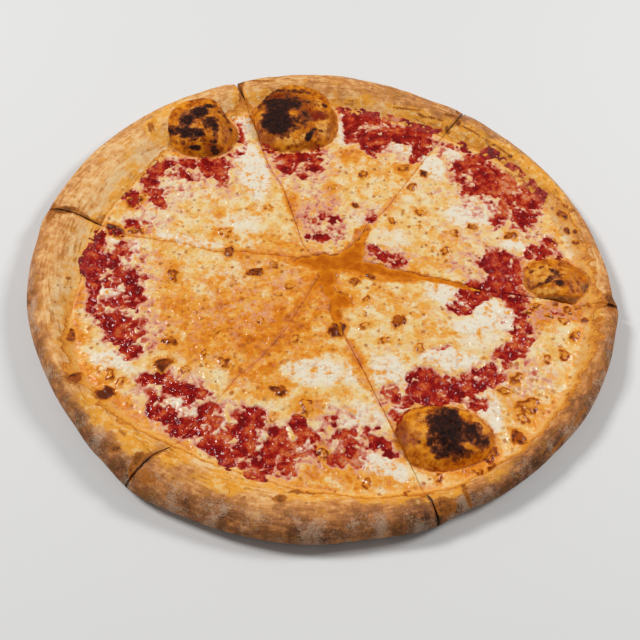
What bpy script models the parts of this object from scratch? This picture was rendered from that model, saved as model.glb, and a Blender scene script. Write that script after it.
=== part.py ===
"""A whole cheese pizza, cut by three strokes into six slices that still lie together.

Each slice is three solids: a dough wedge with its raised rim, the tomato sauce in the
shallow well of that wedge, and the melted cheese on the sauce.  Large bubbles of dough
come up through the toppings, and the sauce swells up where the cheese has gaps.  A thin
pool of oil joins the six tips in the middle.

Lengths are millimetres and azimuths degrees, counterclockwise from +X.  The origin is in
the middle of the underside, and every mesh is scaled to metres as it is made.
"""
import math
from collections import namedtuple

import bmesh
import bpy
import numpy as np
from mathutils import Vector, geometry, noise

MM = 0.001

# ---------------------------------------------------------------- driving sizes
FLOOR = 4.0               # top of the dough under the sauce
LEDGE = 6.5               # where the rim starts, level with the edge of the cheese
WELL_WALL = 0.4           # run of the well's steep wall
CLEARANCE = 0.3           # gap between solids that lie against each other
SAUCE_TOP = 5.3           # level of the sauce under the cheese
SAUCE_RISE = 1.0          # how far bare sauce comes up at the edge of its gap
SAUCE_SWELL = 0.7         # and how much more in the middle of the gap
SWELL_FOOT = 0.4          # bare sauce starts to rise this far inside the gap
SWELL_START = 1.0         # and is up at this distance inside it
CHEESE_EDGE = 6.5         # cheese level along its edges
CHEESE_CROWN = 0.5        # extra level away from the edges
CHEESE_RELIEF = 0.45      # height of the soft lumps in the cheese
OIL_TOP = 6.1             # level of the pool of oil
WIDEST_LEVEL = 7.0        # height at which the rim is widest
UNDERCUT = 6.0            # how far the foot of the rim lies inside its widest line
CREST_PLACE = 0.55        # crest of the rim, from the well wall 0 to the widest line 1

RIM_RADIUS = 150.0        # nominal size of the pizza, from which columns are spaced
HUB = (3.4, 2.3)          # where the strokes cross

# Rings of the rim: 0 at the top of the well wall, 1 at the crest, 2 at the widest line.
RIM_RINGS = (0.30, 0.62, 1.0, 1.42, 1.72, 1.92)
FOOT_ANGLES = (32.0, 62.0, 90.0)
COLUMN_SPACING = 8.0      # spacing of the columns of points along the rim
PINCH_WIDTH = 3.5         # width of the rim that the knife pressed down at a cut
PINCH_DEPTH = 0.22        # share of the rim's height lost right at the cut
SIDE_STATIONS = (12.0, 24.0, 38.0, 54.0, 70.0, 86.0, 102.0)
CHEESE_SPACING = 7.0
SAUCE_SPACING = 5.5
EDGE_MARGIN = 2.2         # free points stay this far from any outline

# Well radius, widest radius and crest height of the rim, at azimuths around the pizza.
WELL_RADIUS = [
    (0, 135), (20, 134), (40, 130), (55, 124), (70, 122), (90, 123), (111, 124),
    (130, 121), (150, 118), (168, 120), (185, 122), (200, 128), (212, 131), (225, 126),
    (240, 122), (255, 122), (270, 125), (285, 130), (300, 136), (320, 138), (340, 138),
]
WIDEST_RADIUS = [
    (0, 152.3), (12, 150.6), (22, 149.5), (30, 149.4), (45, 148.8), (57, 149.4), (66, 148.0),
    (85, 151.4), (110, 152.5), (130, 153.0), (148, 153.4), (162, 152.2), (171, 152.2),
    (178, 150.5), (190, 149.9), (212, 147.6), (221, 147.7), (230, 149.4), (240, 152.4),
    (250, 151.2), (260, 151.3), (270, 151.4), (280, 150.1), (291, 151.4), (298, 149.7),
    (304, 151.2), (316, 151.7), (330, 153.4), (346, 154.0), (353, 155.3), (356, 152.6),
]
CREST_HEIGHT = [
    (0, 13.0), (30, 12.5), (60, 14.0), (90, 16.0), (115, 15.5), (140, 14.5), (165, 13.0),
    (190, 15.0), (215, 16.0), (240, 15.0), (270, 14.5), (295, 14.5), (320, 14.0),
    (345, 14.5),
]

# Strokes of the knife, counterclockwise.  Each runs from the hub outwards past the rim.
# The half gaps are (distance from the hub, half width) pairs.
Stroke = namedtuple("Stroke", "knots dough_gap topping_gap oil_length")
NARROW = [(0, 0.30), (160, 0.30)]
NARROW_TOPPING = [(0, 0.38), (160, 0.38)]
STROKES = (
    Stroke([(23, 1.5), (46, -2), (60, -3.8), (78, -8), (112, -12.2), (137, -16.8), (160, -19)],
           [(0, 0.30), (135, 0.30), (150, 0.80)],
           [(0, 2.3), (30, 2.1), (50, 1.5), (74, 0.75), (86, 0.38)], 70.0),
    Stroke([(12, 10), (20.6, 20.6), (25.1, 33.1), (34.3, 43.4), (43.4, 59.4), (54.9, 80),
            (68, 103), (76.5, 113), (88, 134)],
           [(0, 0.30), (130, 0.30), (148, 0.90)],
           [(0, 2.2), (12, 1.9), (26, 0.8), (34, 0.38)], 24.0),
    Stroke([(-8, 13.7), (-13.7, 29.7), (-22.9, 57.1), (-32, 74.3), (-42, 104), (-47.5, 118),
            (-52.6, 129), (-61, 149)],
           [(0, 0.30), (130, 0.35), (150, 1.9)], NARROW_TOPPING, 0.0),
    Stroke([(-15, 7), (-32, 8), (-41, 9.1), (-55, 8), (-75.4, 12.6), (-103, 16.5),
            (-117.7, 22.0), (-135, 26.5), (-158, 33)],
           [(0, 0.30), (125, 0.35), (150, 1.0)], NARROW_TOPPING, 0.0),
    Stroke([(-1, -8), (-8, -24), (-17, -43), (-27.4, -59.4), (-37, -70), (-48, -88),
            (-60.6, -106), (-71, -118), (-87, -138)],
           [(0, 0.30), (125, 0.35), (152, 1.7)], NARROW_TOPPING, 0.0),
    Stroke([(6.0, -12), (8.6, -23), (12, -37), (22.9, -60.6), (34.3, -85.7), (46.9, -114.3),
            (53, -130), (61, -149)],
           [(0, 0.30), (135, 0.30), (150, 0.70)],
           [(0, 1.8), (14, 1.6), (30, 0.8), (40, 0.38)], 28.0),
)
# Distance from the hub at which the toppings of each slice begin.
TOPPING_TIPS = (8.0, 6.5, 5.0, 3.5, 7.0, 6.0)

# Rounded shapes seen from above: centre, half axes, turn of the long axis and a seed for
# the unevenness of the outline.
Blob = namedtuple("Blob", "x y half_x half_y turn seed")
BLOB_LOBES = 0.09         # unevenness of an outline, as a share of its radius
Bubble = namedtuple("Bubble", "slice blob apex")
BUBBLES = (
    Bubble(1, Blob(124, -1, 17, 15, 0, 1), 13.0),
    Bubble(2, Blob(-20, 110, 26.5, 25, 0, 2), 19.0),
    Bubble(3, Blob(-73, 98, 20.5, 20, 0, 3), 20.5),
    Bubble(6, Blob(60.5, -97, 22.5, 17.5, 0, 4), 16.5),
)
SAUCE_GAPS = (
    Blob(93, 66, 36, 13, -47, 11), Blob(119, 19, 12, 8, 0, 12), Blob(93, 1, 12, 15, 0, 13),
    Blob(34, 103, 30, 12, -24, 14), Blob(-16, 76, 15, 12, 0, 15),
    Blob(-68, 71, 23, 10, 0, 16), Blob(-94, 46, 8, 22, 8, 17),
    Blob(-111, -20, 15, 36, 14, 18), Blob(-64, -86, 20, 13, -40, 19),
    Blob(-26, -106, 25, 16, -10, 20), Blob(17, -103, 11, 7, 0, 21),
    Blob(61, -71, 17, 11, 0, 22), Blob(82, -64, 9, 6, 20, 23), Blob(39, -81, 10, 8, 0, 24),
    Blob(82, -17, 14, 9, 10, 25),
)
# Browned blisters in the cheese: centre and radius.
BLISTERS = (
    (-32.7, -4.1, 3.2), (-75.9, -9.6, 3.6), (41.6, -31.5, 3.8), (51.4, -49.1, 3.6),
    (-17.8, -75.4, 3.8), (-2.3, -84.6, 4.2), (22.9, 70.9, 3.2), (42.3, 76.5, 3.8),
    (53.0, 42.3, 3.4), (38.9, 35.4, 3.0), (66.3, 16.5, 2.8), (-73.1, -62.0, 4.2),
    (-45.7, -60.0, 3.6), (102.9, -77.7, 4.5), (123.4, -48.0, 4.0), (-30.0, 41.0, 3.4),
    (-52.0, 28.0, 3.0), (-90.0, -70.0, 4.0),
)
BLISTER_RISE = 1.1

COLOURS = {
    "crust": ((0.62, 0.36, 0.15, 1.0), 0.75),
    "sauce": ((0.48, 0.03, 0.02, 1.0), 0.35),
    "cheese": ((0.86, 0.66, 0.34, 1.0), 0.45),
    "oil": ((0.78, 0.26, 0.03, 1.0), 0.15),
}


# ---------------------------------------------------------------- plane curves
def around(knots, azimuth):
    """Value at an azimuth, eased between the knots of a closed ring."""
    for (start, low), (end, high) in zip(knots, knots[1:] + knots[:1]):
        span = (end - start) % 360.0
        along = (azimuth - start) % 360.0
        if along <= span:
            share = along / span
            return low + (high - low) * share * share * (3.0 - 2.0 * share)
    return knots[0][1]


def azimuth_of(x, y):
    return math.degrees(math.atan2(y, x)) % 360.0


def smooth_path(knots, step=1.0):
    """Catmull-Rom curve through the knots, as an array of closely spaced points."""
    points = [np.array(knot, float) for knot in knots]
    points = [2 * points[0] - points[1]] + points + [2 * points[-1] - points[-2]]
    path = []
    for before, start, end, after in zip(points, points[1:], points[2:], points[3:]):
        count = max(2, int(np.linalg.norm(end - start) / step))
        for share in np.arange(count) / count:
            path.append(0.5 * (2 * start + (end - before) * share
                               + (2 * before - 5 * start + 4 * end - after) * share ** 2
                               + (3 * start - before - 3 * end + after) * share ** 3))
    path.append(points[-2])
    return np.array(path)


class Side:
    """One edge of a slice: a stroke moved sideways by half its gap."""

    def __init__(self, stroke, gap, turn):
        path = smooth_path([HUB] + stroke.knots)
        steps = np.linalg.norm(np.diff(path, axis=0), axis=1)
        self.distance = np.concatenate([[0.0], np.cumsum(steps)])
        along = np.gradient(path, axis=0)
        along /= np.linalg.norm(along, axis=1)[:, None]
        left = np.stack([-along[:, 1], along[:, 0]], axis=1)
        width = np.interp(self.distance, [pair[0] for pair in gap], [pair[1] for pair in gap])
        self.points = path + turn * width[:, None] * left
        self.radius = np.hypot(self.points[:, 0], self.points[:, 1])

    def at(self, distance):
        x = np.interp(distance, self.distance, self.points[:, 0])
        y = np.interp(distance, self.distance, self.points[:, 1])
        return float(x), float(y)

    def crossing(self, radius_at):
        """Distance along the side where it meets the closed line radius_at(azimuth)."""
        distance = 130.0
        for _ in range(12):
            wanted = radius_at(azimuth_of(*self.at(distance)))
            outer = self.distance > 20.0
            distance = float(np.interp(wanted, self.radius[outer], self.distance[outer]))
        return distance


def blob_radius(blob, angle):
    """Radius of a blob in a direction, an ellipse with three soft lobes of its own."""
    local = angle - math.radians(blob.turn)
    ellipse = 1.0 / math.hypot(math.cos(local) / blob.half_x, math.sin(local) / blob.half_y)
    lobes = sum(math.sin(count * angle + blob.seed * 1.7 * count) / count for count in (2, 3, 5))
    return ellipse * (1.0 + BLOB_LOBES * lobes)


def blob_inside(blob, x, y):
    """How far a point lies inside a blob's outline, measured towards its centre."""
    angle = math.atan2(y - blob.y, x - blob.x)
    return blob_radius(blob, angle) - math.hypot(x - blob.x, y - blob.y)


def blob_loop(blob, grow=0.0, spacing=5.0):
    """Closed outline of a blob, moved outwards by grow."""
    around_it = math.pi * (blob.half_x + blob.half_y)
    count = max(12, int(round(around_it / spacing)))
    loop = []
    for index in range(count):
        angle = 2.0 * math.pi * index / count
        reach = blob_radius(blob, angle) + grow
        loop.append((blob.x + reach * math.cos(angle), blob.y + reach * math.sin(angle)))
    return loop


# ---------------------------------------------------------------- height of each layer
def rim_radius(ring, azimuth):
    """Radius of a ring of the rim: 0 well wall, 1 crest, 2 widest line."""
    inner = around(WELL_RADIUS, azimuth) + WELL_WALL
    outer = around(WIDEST_RADIUS, azimuth)
    crest = inner + CREST_PLACE * (outer - inner)
    if ring <= 1.0:
        return inner + ring * (crest - inner)
    return crest + (ring - 1.0) * (outer - crest)


def lumps(x, y, size):
    """Soft unevenness between -1 and 1, with swells about as wide as size."""
    return noise.noise(Vector((x / size, y / size, 3.7)))


def rim_height(x, y):
    """Level of the dough outside the bubbles."""
    azimuth = azimuth_of(x, y)
    radius = math.hypot(x, y)
    if radius <= around(WELL_RADIUS, azimuth) + 0.1 * WELL_WALL:
        return FLOOR
    inner = rim_radius(0.0, azimuth)
    crest = rim_radius(1.0, azimuth)
    top = around(CREST_HEIGHT, azimuth) + 1.6 * lumps(x, y, 26.0)
    if radius <= crest:
        share = max(0.0, (radius - inner) / (crest - inner))
        return LEDGE + (top - LEDGE) * math.sin(0.5 * math.pi * share) ** 1.3
    share = min(1.0, (radius - crest) / (rim_radius(2.0, azimuth) - crest))
    return WIDEST_LEVEL + (top - WIDEST_LEVEL) * math.sqrt(1.0 - share ** 2.2)


def bubble_height(bubble, x, y):
    """Level of one bubble's skin, or the floor outside it."""
    depth = blob_inside(bubble.blob, x, y)
    if depth < -0.1 * WELL_WALL:
        return FLOOR
    angle = math.atan2(y - bubble.blob.y, x - bubble.blob.x)
    share = 1.0 - max(0.0, depth) / blob_radius(bubble.blob, angle)
    rise = bubble.apex - LEDGE
    return LEDGE + rise * (1.0 - share ** 2.4) ** 0.75 + 0.9 * lumps(x, y, 9.0) * (1.0 - share)


def pinched(height, distance):
    """Height of the dough near a cut, where the knife pressed it down."""
    press = PINCH_DEPTH * math.exp(-(distance / PINCH_WIDTH) ** 2)
    return LEDGE + (height - LEDGE) * (1.0 - press) if height > LEDGE else height


def sauce_height(x, y, brinks):
    """Level of the sauce, raised inside the given outlines of its bare places."""
    if not any(inside_loop(brink, x, y) for brink in brinks):
        return SAUCE_TOP
    depth = max(blob_inside(gap, x, y) for gap in SAUCE_GAPS)
    swell = min(1.0, max(0.0, (depth - SWELL_START) / 5.0))
    return SAUCE_TOP + SAUCE_RISE + swell * (SAUCE_SWELL + 0.5 * lumps(x, y, 6.0))


def cheese_height(x, y):
    level = CHEESE_EDGE + CHEESE_CROWN + CHEESE_RELIEF * lumps(x, y, 13.0)
    for blister_x, blister_y, radius in BLISTERS:
        share = math.hypot(x - blister_x, y - blister_y) / radius
        if share < 0.99:
            level += BLISTER_RISE * (1.0 - share)
    return level


# ---------------------------------------------------------------- outlines of a slice
def slice_sides(number, gap_name):
    """The two edges of a slice, right and left as seen from the hub."""
    right = STROKES[number - 1]
    left = STROKES[number % len(STROKES)]
    return Side(right, getattr(right, gap_name), 1), Side(left, getattr(left, gap_name), -1)


def tip_point(right, left, reach):
    """Point on the middle line of a slice, at a distance from the hub."""
    aim = np.array(right.at(12.0)) + np.array(left.at(12.0)) - 2 * np.array(HUB)
    aim /= np.linalg.norm(aim)
    return HUB[0] + reach * aim[0], HUB[1] + reach * aim[1]


def columns(span):
    """Shares along an arc of span degrees: close to both cuts, then evenly spaced."""
    length = math.radians(span) * RIM_RADIUS
    edge = PINCH_WIDTH / length
    count = max(4, int(round((length - 2 * PINCH_WIDTH) / COLUMN_SPACING)))
    middle = [edge + (1.0 - 2.0 * edge) * index / count for index in range(count + 1)]
    return [0.0] + middle + [1.0]


def arc_between(right, left, radius_at):
    """Points of the line radius_at(azimuth) from the right side of a slice to the left."""
    ends = [side.at(side.crossing(radius_at)) for side in (right, left)]
    start, end = azimuth_of(*ends[0]), azimuth_of(*ends[1])
    span = (end - start) % 360.0
    points = [ends[0]]
    for share in columns(span)[1:-1]:
        azimuth = start + share * span
        reach = radius_at(azimuth)
        turn = math.radians(azimuth)
        points.append((reach * math.cos(turn), reach * math.sin(turn)))
    return points + [ends[1]]


def side_points(side, radius_lines, start):
    """Points along a side at the fixed stations, then where it crosses the given lines."""
    crossings = [side.crossing(line) for line in radius_lines]
    stations = [s for s in SIDE_STATIONS if start < s < crossings[0] - 6.0]
    return [side.at(distance) for distance in stations + crossings]


def topping_outline(number):
    """Closed outline of a slice's toppings, without its holes."""
    right, left = slice_sides(number, "topping_gap")
    reach = TOPPING_TIPS[number - 1]

    def edge(azimuth):
        return around(WELL_RADIUS, azimuth) - CLEARANCE

    arc = arc_between(right, left, edge)
    start = reach + 4.0
    going_out = side_points(right, [edge], start)[:-1]
    coming_in = side_points(left, [edge], start)[:-1][::-1]
    return [tip_point(right, left, reach)] + going_out + arc + coming_in


def inside_loop(loop, x, y):
    """Even-odd test of a point against a closed outline."""
    inside = False
    for (x0, y0), (x1, y1) in zip(loop, loop[1:] + loop[:1]):
        if (y0 > y) != (y1 > y) and x < (x1 - x0) * (y - y0) / (y1 - y0) + x0:
            inside = not inside
    return inside


def loop_distance(loops, x, y):
    """Distance from a point to the nearest edge of some closed outlines."""
    best = 1e9
    for loop in loops:
        start = np.array(loop)
        run = np.roll(start, -1, axis=0) - start
        share = ((x - start[:, 0]) * run[:, 0] + (y - start[:, 1]) * run[:, 1])
        share = np.clip(share / np.maximum((run ** 2).sum(axis=1), 1e-12), 0.0, 1.0)
        near = start + share[:, None] * run
        best = min(best, float(np.hypot(near[:, 0] - x, near[:, 1] - y).min()))
    return best


def free_points(loops, spacing, seed):
    """Staggered grid of points that keep their distance from every outline."""
    step = spacing * math.sqrt(0.75)
    points = []
    for row in range(int(-150 / step), int(150 / step) + 1):
        for column in range(int(-150 / spacing), int(150 / spacing) + 1):
            x = (column + 0.5 * (row % 2)) * spacing
            y = row * step
            x += 0.22 * spacing * noise.noise(Vector((x, y, seed + 0.3)))
            y += 0.22 * spacing * noise.noise(Vector((y, x, seed + 0.6)))
            if inside_loop(loops[0], x, y) and loop_distance(loops, x, y) > EDGE_MARGIN:
                points.append((x, y))
    return points


# ---------------------------------------------------------------- meshes
class Net:
    """Plane triangle net that keeps every given line as edges."""

    def __init__(self):
        self.points = []
        self.edges = []

    def line(self, points, closed=False):
        start = len(self.points)
        self.points += points
        last = len(self.points) - 1
        self.edges += [(index, index + 1) for index in range(start, last)]
        if closed:
            self.edges.append((last, start))

    def triangles(self, keep):
        """Corners, triangles whose centre passes keep(x, y), and each corner's sources."""
        vectors = [Vector(point) for point in self.points]
        result = geometry.delaunay_2d_cdt(vectors, self.edges, [], 0, 1e-4)
        corners, faces, sources = result[0], result[2], result[3]
        kept = []
        for face in faces:
            x = sum(corners[index].x for index in face) / 3.0
            y = sum(corners[index].y for index in face) / 3.0
            if keep(x, y):
                kept.append(tuple(face))
        return [(corner.x, corner.y) for corner in corners], largest_patch(kept), sources


def largest_patch(faces):
    """The largest set of triangles that join each other along edges."""
    by_edge = {}
    for number, face in enumerate(faces):
        for pair in zip(face, face[1:] + face[:1]):
            by_edge.setdefault(frozenset(pair), []).append(number)
    seen = set()
    best = []
    for first in range(len(faces)):
        if first in seen:
            continue
        patch = []
        waiting = [first]
        seen.add(first)
        while waiting:
            number = waiting.pop()
            patch.append(faces[number])
            face = faces[number]
            for pair in zip(face, face[1:] + face[:1]):
                for other in by_edge[frozenset(pair)]:
                    if other not in seen:
                        seen.add(other)
                        waiting.append(other)
        best = max(best, patch, key=len)
    return best


def boundary_loops(faces):
    """Closed chains of corners around a triangle net, the net on their left."""
    directed = {pair for face in faces for pair in zip(face, face[1:] + face[:1])}
    following = {}
    for start, end in directed:
        if (end, start) not in directed:
            assert start not in following, "two outlines meet in a point"
            following[start] = end
    loops = []
    while following:
        start = min(following)
        loop = [start]
        while following[loop[-1]] != start:
            loop.append(following[loop[-1]])
        for corner in loop:
            del following[corner]
        loops.append(loop)
    return loops


def plane_fill(corners, loops):
    """Triangles between some closed chains of corners, without further points."""
    net = Net()
    order = []
    for loop in loops:
        net.line([corners[index] for index in loop], closed=True)
        order += loop
    outlines = [[corners[index] for index in loop] for loop in loops]
    _, faces, sources = net.triangles(
        lambda x, y: sum(inside_loop(outline, x, y) for outline in outlines) % 2 == 1)
    return [tuple(order[sources[corner][0]] for corner in face) for face in faces]


def add_object(name, vertices, faces, material):
    """Closed mesh object in metres, its faces turned outwards."""
    mesh = bpy.data.meshes.new(name)
    mesh.from_pydata([tuple(MM * value for value in vertex) for vertex in vertices], [], faces)
    work = bmesh.new()
    work.from_mesh(mesh)
    loose = [vertex for vertex in work.verts if not vertex.link_faces]
    bmesh.ops.delete(work, geom=loose, context="VERTS")
    bmesh.ops.recalc_face_normals(work, faces=work.faces)
    work.to_mesh(mesh)
    work.free()
    mesh.shade_smooth()
    mesh.set_sharp_from_angle(angle=math.radians(40.0))
    mesh.materials.append(material)
    thing = bpy.data.objects.new(name, mesh)
    bpy.context.scene.collection.objects.link(thing)
    return thing


def add_slab(name, net, keep, height, underside, material):
    """Solid between a shaped top and a level underside."""
    corners, top_faces, _ = net.triangles(keep)
    loops = boundary_loops(top_faces)
    edge = {index for loop in loops for index in loop}
    vertices = [(x, y, height(x, y, index in edge)) for index, (x, y) in enumerate(corners)]
    below = {}
    for index in sorted(edge):
        below[index] = len(vertices)
        vertices.append((corners[index][0], corners[index][1], underside))
    faces = list(top_faces)
    for loop in loops:
        for start, end in zip(loop, loop[1:] + loop[:1]):
            faces.append((start, below[start], below[end]))
            faces.append((start, below[end], end))
    for face in plane_fill(corners, loops):
        faces.append(tuple(below[index] for index in reversed(face)))
    return add_object(name, vertices, faces, material)


# ---------------------------------------------------------------- dough
def crust_rim_lines():
    """Radius lines of the rim from the floor of the well to the widest line."""
    lines = [lambda azimuth: around(WELL_RADIUS, azimuth)]
    for ring in (0.0,) + RIM_RINGS + (2.0,):
        lines.append(lambda azimuth, ring=ring: rim_radius(ring, azimuth))
    return lines


def crust_net(number, right, left, lines):
    """Plane net of a slice's dough, with its outline as the first line."""
    tip = tip_point(right, left, 1.2)
    going_out = side_points(right, lines, 6.0)
    coming_in = side_points(left, lines, 6.0)[::-1]
    arc = arc_between(right, left, lines[-1])
    outline = [tip] + going_out[:-1] + arc + coming_in[1:]
    bubbles = [bubble for bubble in BUBBLES if bubble.slice == number]

    def in_bubble(x, y, margin):
        return any(blob_inside(bubble.blob, x, y) > margin for bubble in bubbles)

    net = Net()
    net.line(outline, closed=True)
    for position, line in enumerate(lines[:-1]):
        points = [p for p in arc_between(right, left, line)]
        if position < 2:
            add_clear_runs(net, points, in_bubble)
        else:
            net.points += [p for p in points[1:-1] if not in_bubble(p[0], p[1], -1.5)]
    for bubble in bubbles:
        add_bubble_rings(net, bubble, outline)
    return net, outline, bubbles


def add_clear_runs(net, points, in_bubble):
    """Lay a line into the net, leaving out the stretch well inside a bubble."""
    hidden = [in_bubble(x, y, 0.5) for x, y in points]
    run = []
    for position, point in enumerate(points):
        if all(hidden[max(0, position - 1):position + 2]):
            if len(run) > 1:
                net.line(run)
            run = []
        else:
            run.append(point)
    if len(run) > 1:
        net.line(run)


def add_bubble_rings(net, bubble, outline):
    """Foot, wall top and rounded skin of one bubble, as rings of points."""
    blob = bubble.blob
    net.line(blob_loop(blob, WELL_WALL), closed=True)
    net.line(blob_loop(blob), closed=True)
    for share, spacing in ((0.84, 6.0), (0.60, 7.0), (0.34, 8.0)):
        small = blob._replace(half_x=blob.half_x * share, half_y=blob.half_y * share)
        net.points += [p for p in blob_loop(small, 0.0, spacing)
                       if inside_loop(outline, *p) and loop_distance([outline], *p) > 1.5]
    net.points.append((blob.x, blob.y))


def add_crust(number, material):
    """Dough wedge: flat underside, well for the toppings, raised rim and bubbles."""
    right, left = slice_sides(number, "dough_gap")
    lines = crust_rim_lines()
    net, outline, bubbles = crust_net(number, right, left, lines)
    corners, top_faces, _ = net.triangles(lambda x, y: inside_loop(outline, x, y))
    (loop,) = boundary_loops(top_faces)

    def index_of(point):
        return min(range(len(loop)), key=lambda i: math.dist(corners[loop[i]], point))

    turn = index_of(outline[0])
    loop = loop[turn:] + loop[:turn]
    right_end = index_of(right.at(right.crossing(lines[-1])))
    left_end = index_of(left.at(left.crossing(lines[-1])))

    vertices = []
    for x, y in corners:
        height = max([rim_height(x, y)] + [bubble_height(bubble, x, y) for bubble in bubbles])
        cut = min(float(np.hypot(side.points[:, 0] - x, side.points[:, 1] - y).min())
                  for side in (right, left))
        widest = math.hypot(x, y) > rim_radius(2.0, azimuth_of(x, y)) - 0.3
        vertices.append((x, y, WIDEST_LEVEL if widest else pinched(height, cut)))

    faces = list(top_faces)
    chain_right = loop[:right_end + 1]
    chain_left = [loop[0]] + loop[left_end:][::-1]
    rim_chain = loop[right_end:left_end + 1]
    foot = add_foot(vertices, faces, rim_chain, right, left, lines[-1])
    below_right = add_cut_face(vertices, faces, chain_right, foot[0])
    below_left = add_cut_face(vertices, faces, chain_left, foot[-1], below_right[0])
    under = below_right + [column[-1] for column in foot] + below_left[:0:-1]
    faces += plane_fill([vertex[:2] for vertex in vertices], [under])
    return add_object("crust_%d" % number, vertices, faces, material)


def add_foot(vertices, faces, rim_chain, right, left, widest_line):
    """Rounded foot of the rim, from its widest line down and in to the underside."""
    ends = []
    for side in (right, left):
        distance = side.crossing(widest_line)
        inward = np.array(side.at(distance - UNDERCUT)) - np.array(side.at(distance))
        ends.append(inward / np.linalg.norm(inward))
    columns_down = []
    for position, index in enumerate(rim_chain):
        place = np.array(vertices[index][:2])
        inward = -place / np.linalg.norm(place)
        for end, aim in zip((rim_chain[0], rim_chain[-1]), ends):
            near = max(0.0, 1.0 - math.dist(place, vertices[end][:2]) / 14.0)
            inward = (1.0 - near) * inward + near * aim
        column = []
        for angle in FOOT_ANGLES:
            turn = math.radians(angle)
            x, y = place + inward * UNDERCUT * (1.0 - math.cos(turn))
            column.append(len(vertices))
            vertices.append((x, y, max(0.0, WIDEST_LEVEL * (1.0 - math.sin(turn)))))
        columns_down.append(column)
    for position in range(len(rim_chain) - 1):
        here = [rim_chain[position]] + columns_down[position]
        there = [rim_chain[position + 1]] + columns_down[position + 1]
        for level in range(len(FOOT_ANGLES)):
            faces.append((here[level], here[level + 1], there[level + 1]))
            faces.append((here[level], there[level + 1], there[level]))
    return columns_down


def add_cut_face(vertices, faces, chain, foot_column, tip_below=None):
    """Upright face along a cut, from the tip to the rim.  Returns its lower corners."""
    end = np.array(vertices[chain[-1]][:2])
    below = []
    for index in chain:
        x, y, _ = vertices[index]
        if math.dist((x, y), end) < UNDERCUT + 0.8:
            break
        if not below and tip_below is not None:
            below.append(tip_below)
            continue
        below.append(len(vertices))
        vertices.append((x, y, 0.0))
    for position in range(len(below) - 1):
        upper, following = chain[position], chain[position + 1]
        faces.append((upper, below[position], below[position + 1]))
        faces.append((upper, below[position + 1], following))
    outer = chain[len(below) - 1:] + foot_column + [below[-1]]
    start = np.array(vertices[chain[len(below) - 1]][:2])
    flat = [Vector((math.dist(vertices[index][:2], start), vertices[index][2], 0.0))
            for index in outer]
    for triangle in geometry.tessellate_polygon([flat]):
        faces.append(tuple(outer[index] for index in triangle))
    return below


# ---------------------------------------------------------------- toppings
def topping_holes(number, grow):
    """Outlines of the bubbles that come up through a slice's toppings."""
    return [blob_loop(bubble.blob, WELL_WALL + grow) for bubble in BUBBLES
            if bubble.slice == number]


def near_blobs(outline, blobs):
    """Those blobs whose outline touches or lies in a slice."""
    return [blob for blob in blobs
            if any(inside_loop(outline, *point) for point in blob_loop(blob))]


def add_sauce(number, material):
    """Layer of sauce in the well, swollen up where the cheese has a gap."""
    outline = topping_outline(number)
    holes = topping_holes(number, CLEARANCE)
    gaps = near_blobs(outline, SAUCE_GAPS)
    net = Net()
    for loop in [outline] + holes:
        net.line(loop, closed=True)
    rings = [blob_loop(gap, -inset) for gap in gaps for inset in (SWELL_FOOT, SWELL_START)]
    brinks = [blob_loop(gap, -0.5 * (SWELL_FOOT + SWELL_START)) for gap in gaps]
    for ring in rings:
        net.line(ring, closed=True)
    for point in free_points([outline] + holes + rings, SAUCE_SPACING, number):
        if max(blob_inside(gap, *point) for gap in SAUCE_GAPS) > 1.5:
            net.points.append(point)

    def keep(x, y):
        return inside_loop(outline, x, y) and not any(inside_loop(h, x, y) for h in holes)

    def height(x, y, edge):
        return sauce_height(x, y, brinks)

    return add_slab("sauce_%d" % number, net, keep, height, FLOOR + CLEARANCE, material)


def add_cheese(number, material):
    """Melted cheese over the sauce, with gaps where the sauce is bare."""
    outline = topping_outline(number)
    holes = topping_holes(number, CLEARANCE)
    holes += [blob_loop(gap) for gap in near_blobs(outline, SAUCE_GAPS)]
    net = Net()
    for loop in [outline] + holes:
        net.line(loop, closed=True)

    def keep(x, y):
        return inside_loop(outline, x, y) and not any(inside_loop(h, x, y) for h in holes)

    for point in free_points([outline] + holes, CHEESE_SPACING, number + 10):
        near = min(math.dist(point, blister[:2]) - blister[2] for blister in BLISTERS)
        if keep(*point) and near > 1.5:
            net.points.append(point)
    for x, y, radius in BLISTERS:
        if keep(x, y) and loop_distance([outline] + holes, x, y) > radius + 1.5:
            net.points.append((x, y))
            net.points += blob_loop(Blob(x, y, radius, radius, 0, 0), 0.0, 8.0)[::2]

    def height(x, y, edge):
        return CHEESE_EDGE if edge else cheese_height(x, y)

    return add_slab("cheese_%d" % number, net, keep, height, SAUCE_TOP + CLEARANCE, material)


def add_oil(material):
    """Pool of oil between the six tips, with arms along the three widest cuts."""
    outline = []
    for number, stroke in enumerate(STROKES, start=1):
        narrow = [(distance, width - CLEARANCE) for distance, width in stroke.topping_gap]
        if stroke.oil_length > 0.0:
            start = max(TOPPING_TIPS[number - 1], TOPPING_TIPS[number - 2]) + 1.5
            stations = np.arange(start, stroke.oil_length, 6.0)
            right_bank = Side(stroke, narrow, -1)
            left_bank = Side(stroke, narrow, 1)
            outline += [right_bank.at(s) for s in stations]
            outline += [left_bank.at(s) for s in stations[::-1]]
        right, left = slice_sides(number, "topping_gap")
        outline.append(tip_point(right, left, TOPPING_TIPS[number - 1] - 1.4))
    net = Net()
    net.line(outline, closed=True)
    net.points.append(HUB)
    return add_slab("oil_pool", net, lambda x, y: inside_loop(outline, x, y),
                    lambda x, y, edge: OIL_TOP - 0.3 * edge, FLOOR + CLEARANCE, material)


def make_material(name):
    colour, roughness = COLOURS[name]
    material = bpy.data.materials.new(name)
    material.use_nodes = True
    shader = material.node_tree.nodes["Principled BSDF"]
    shader.inputs["Base Color"].default_value = colour
    shader.inputs["Roughness"].default_value = roughness
    shader.inputs["Metallic"].default_value = 0.0
    return material


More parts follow.
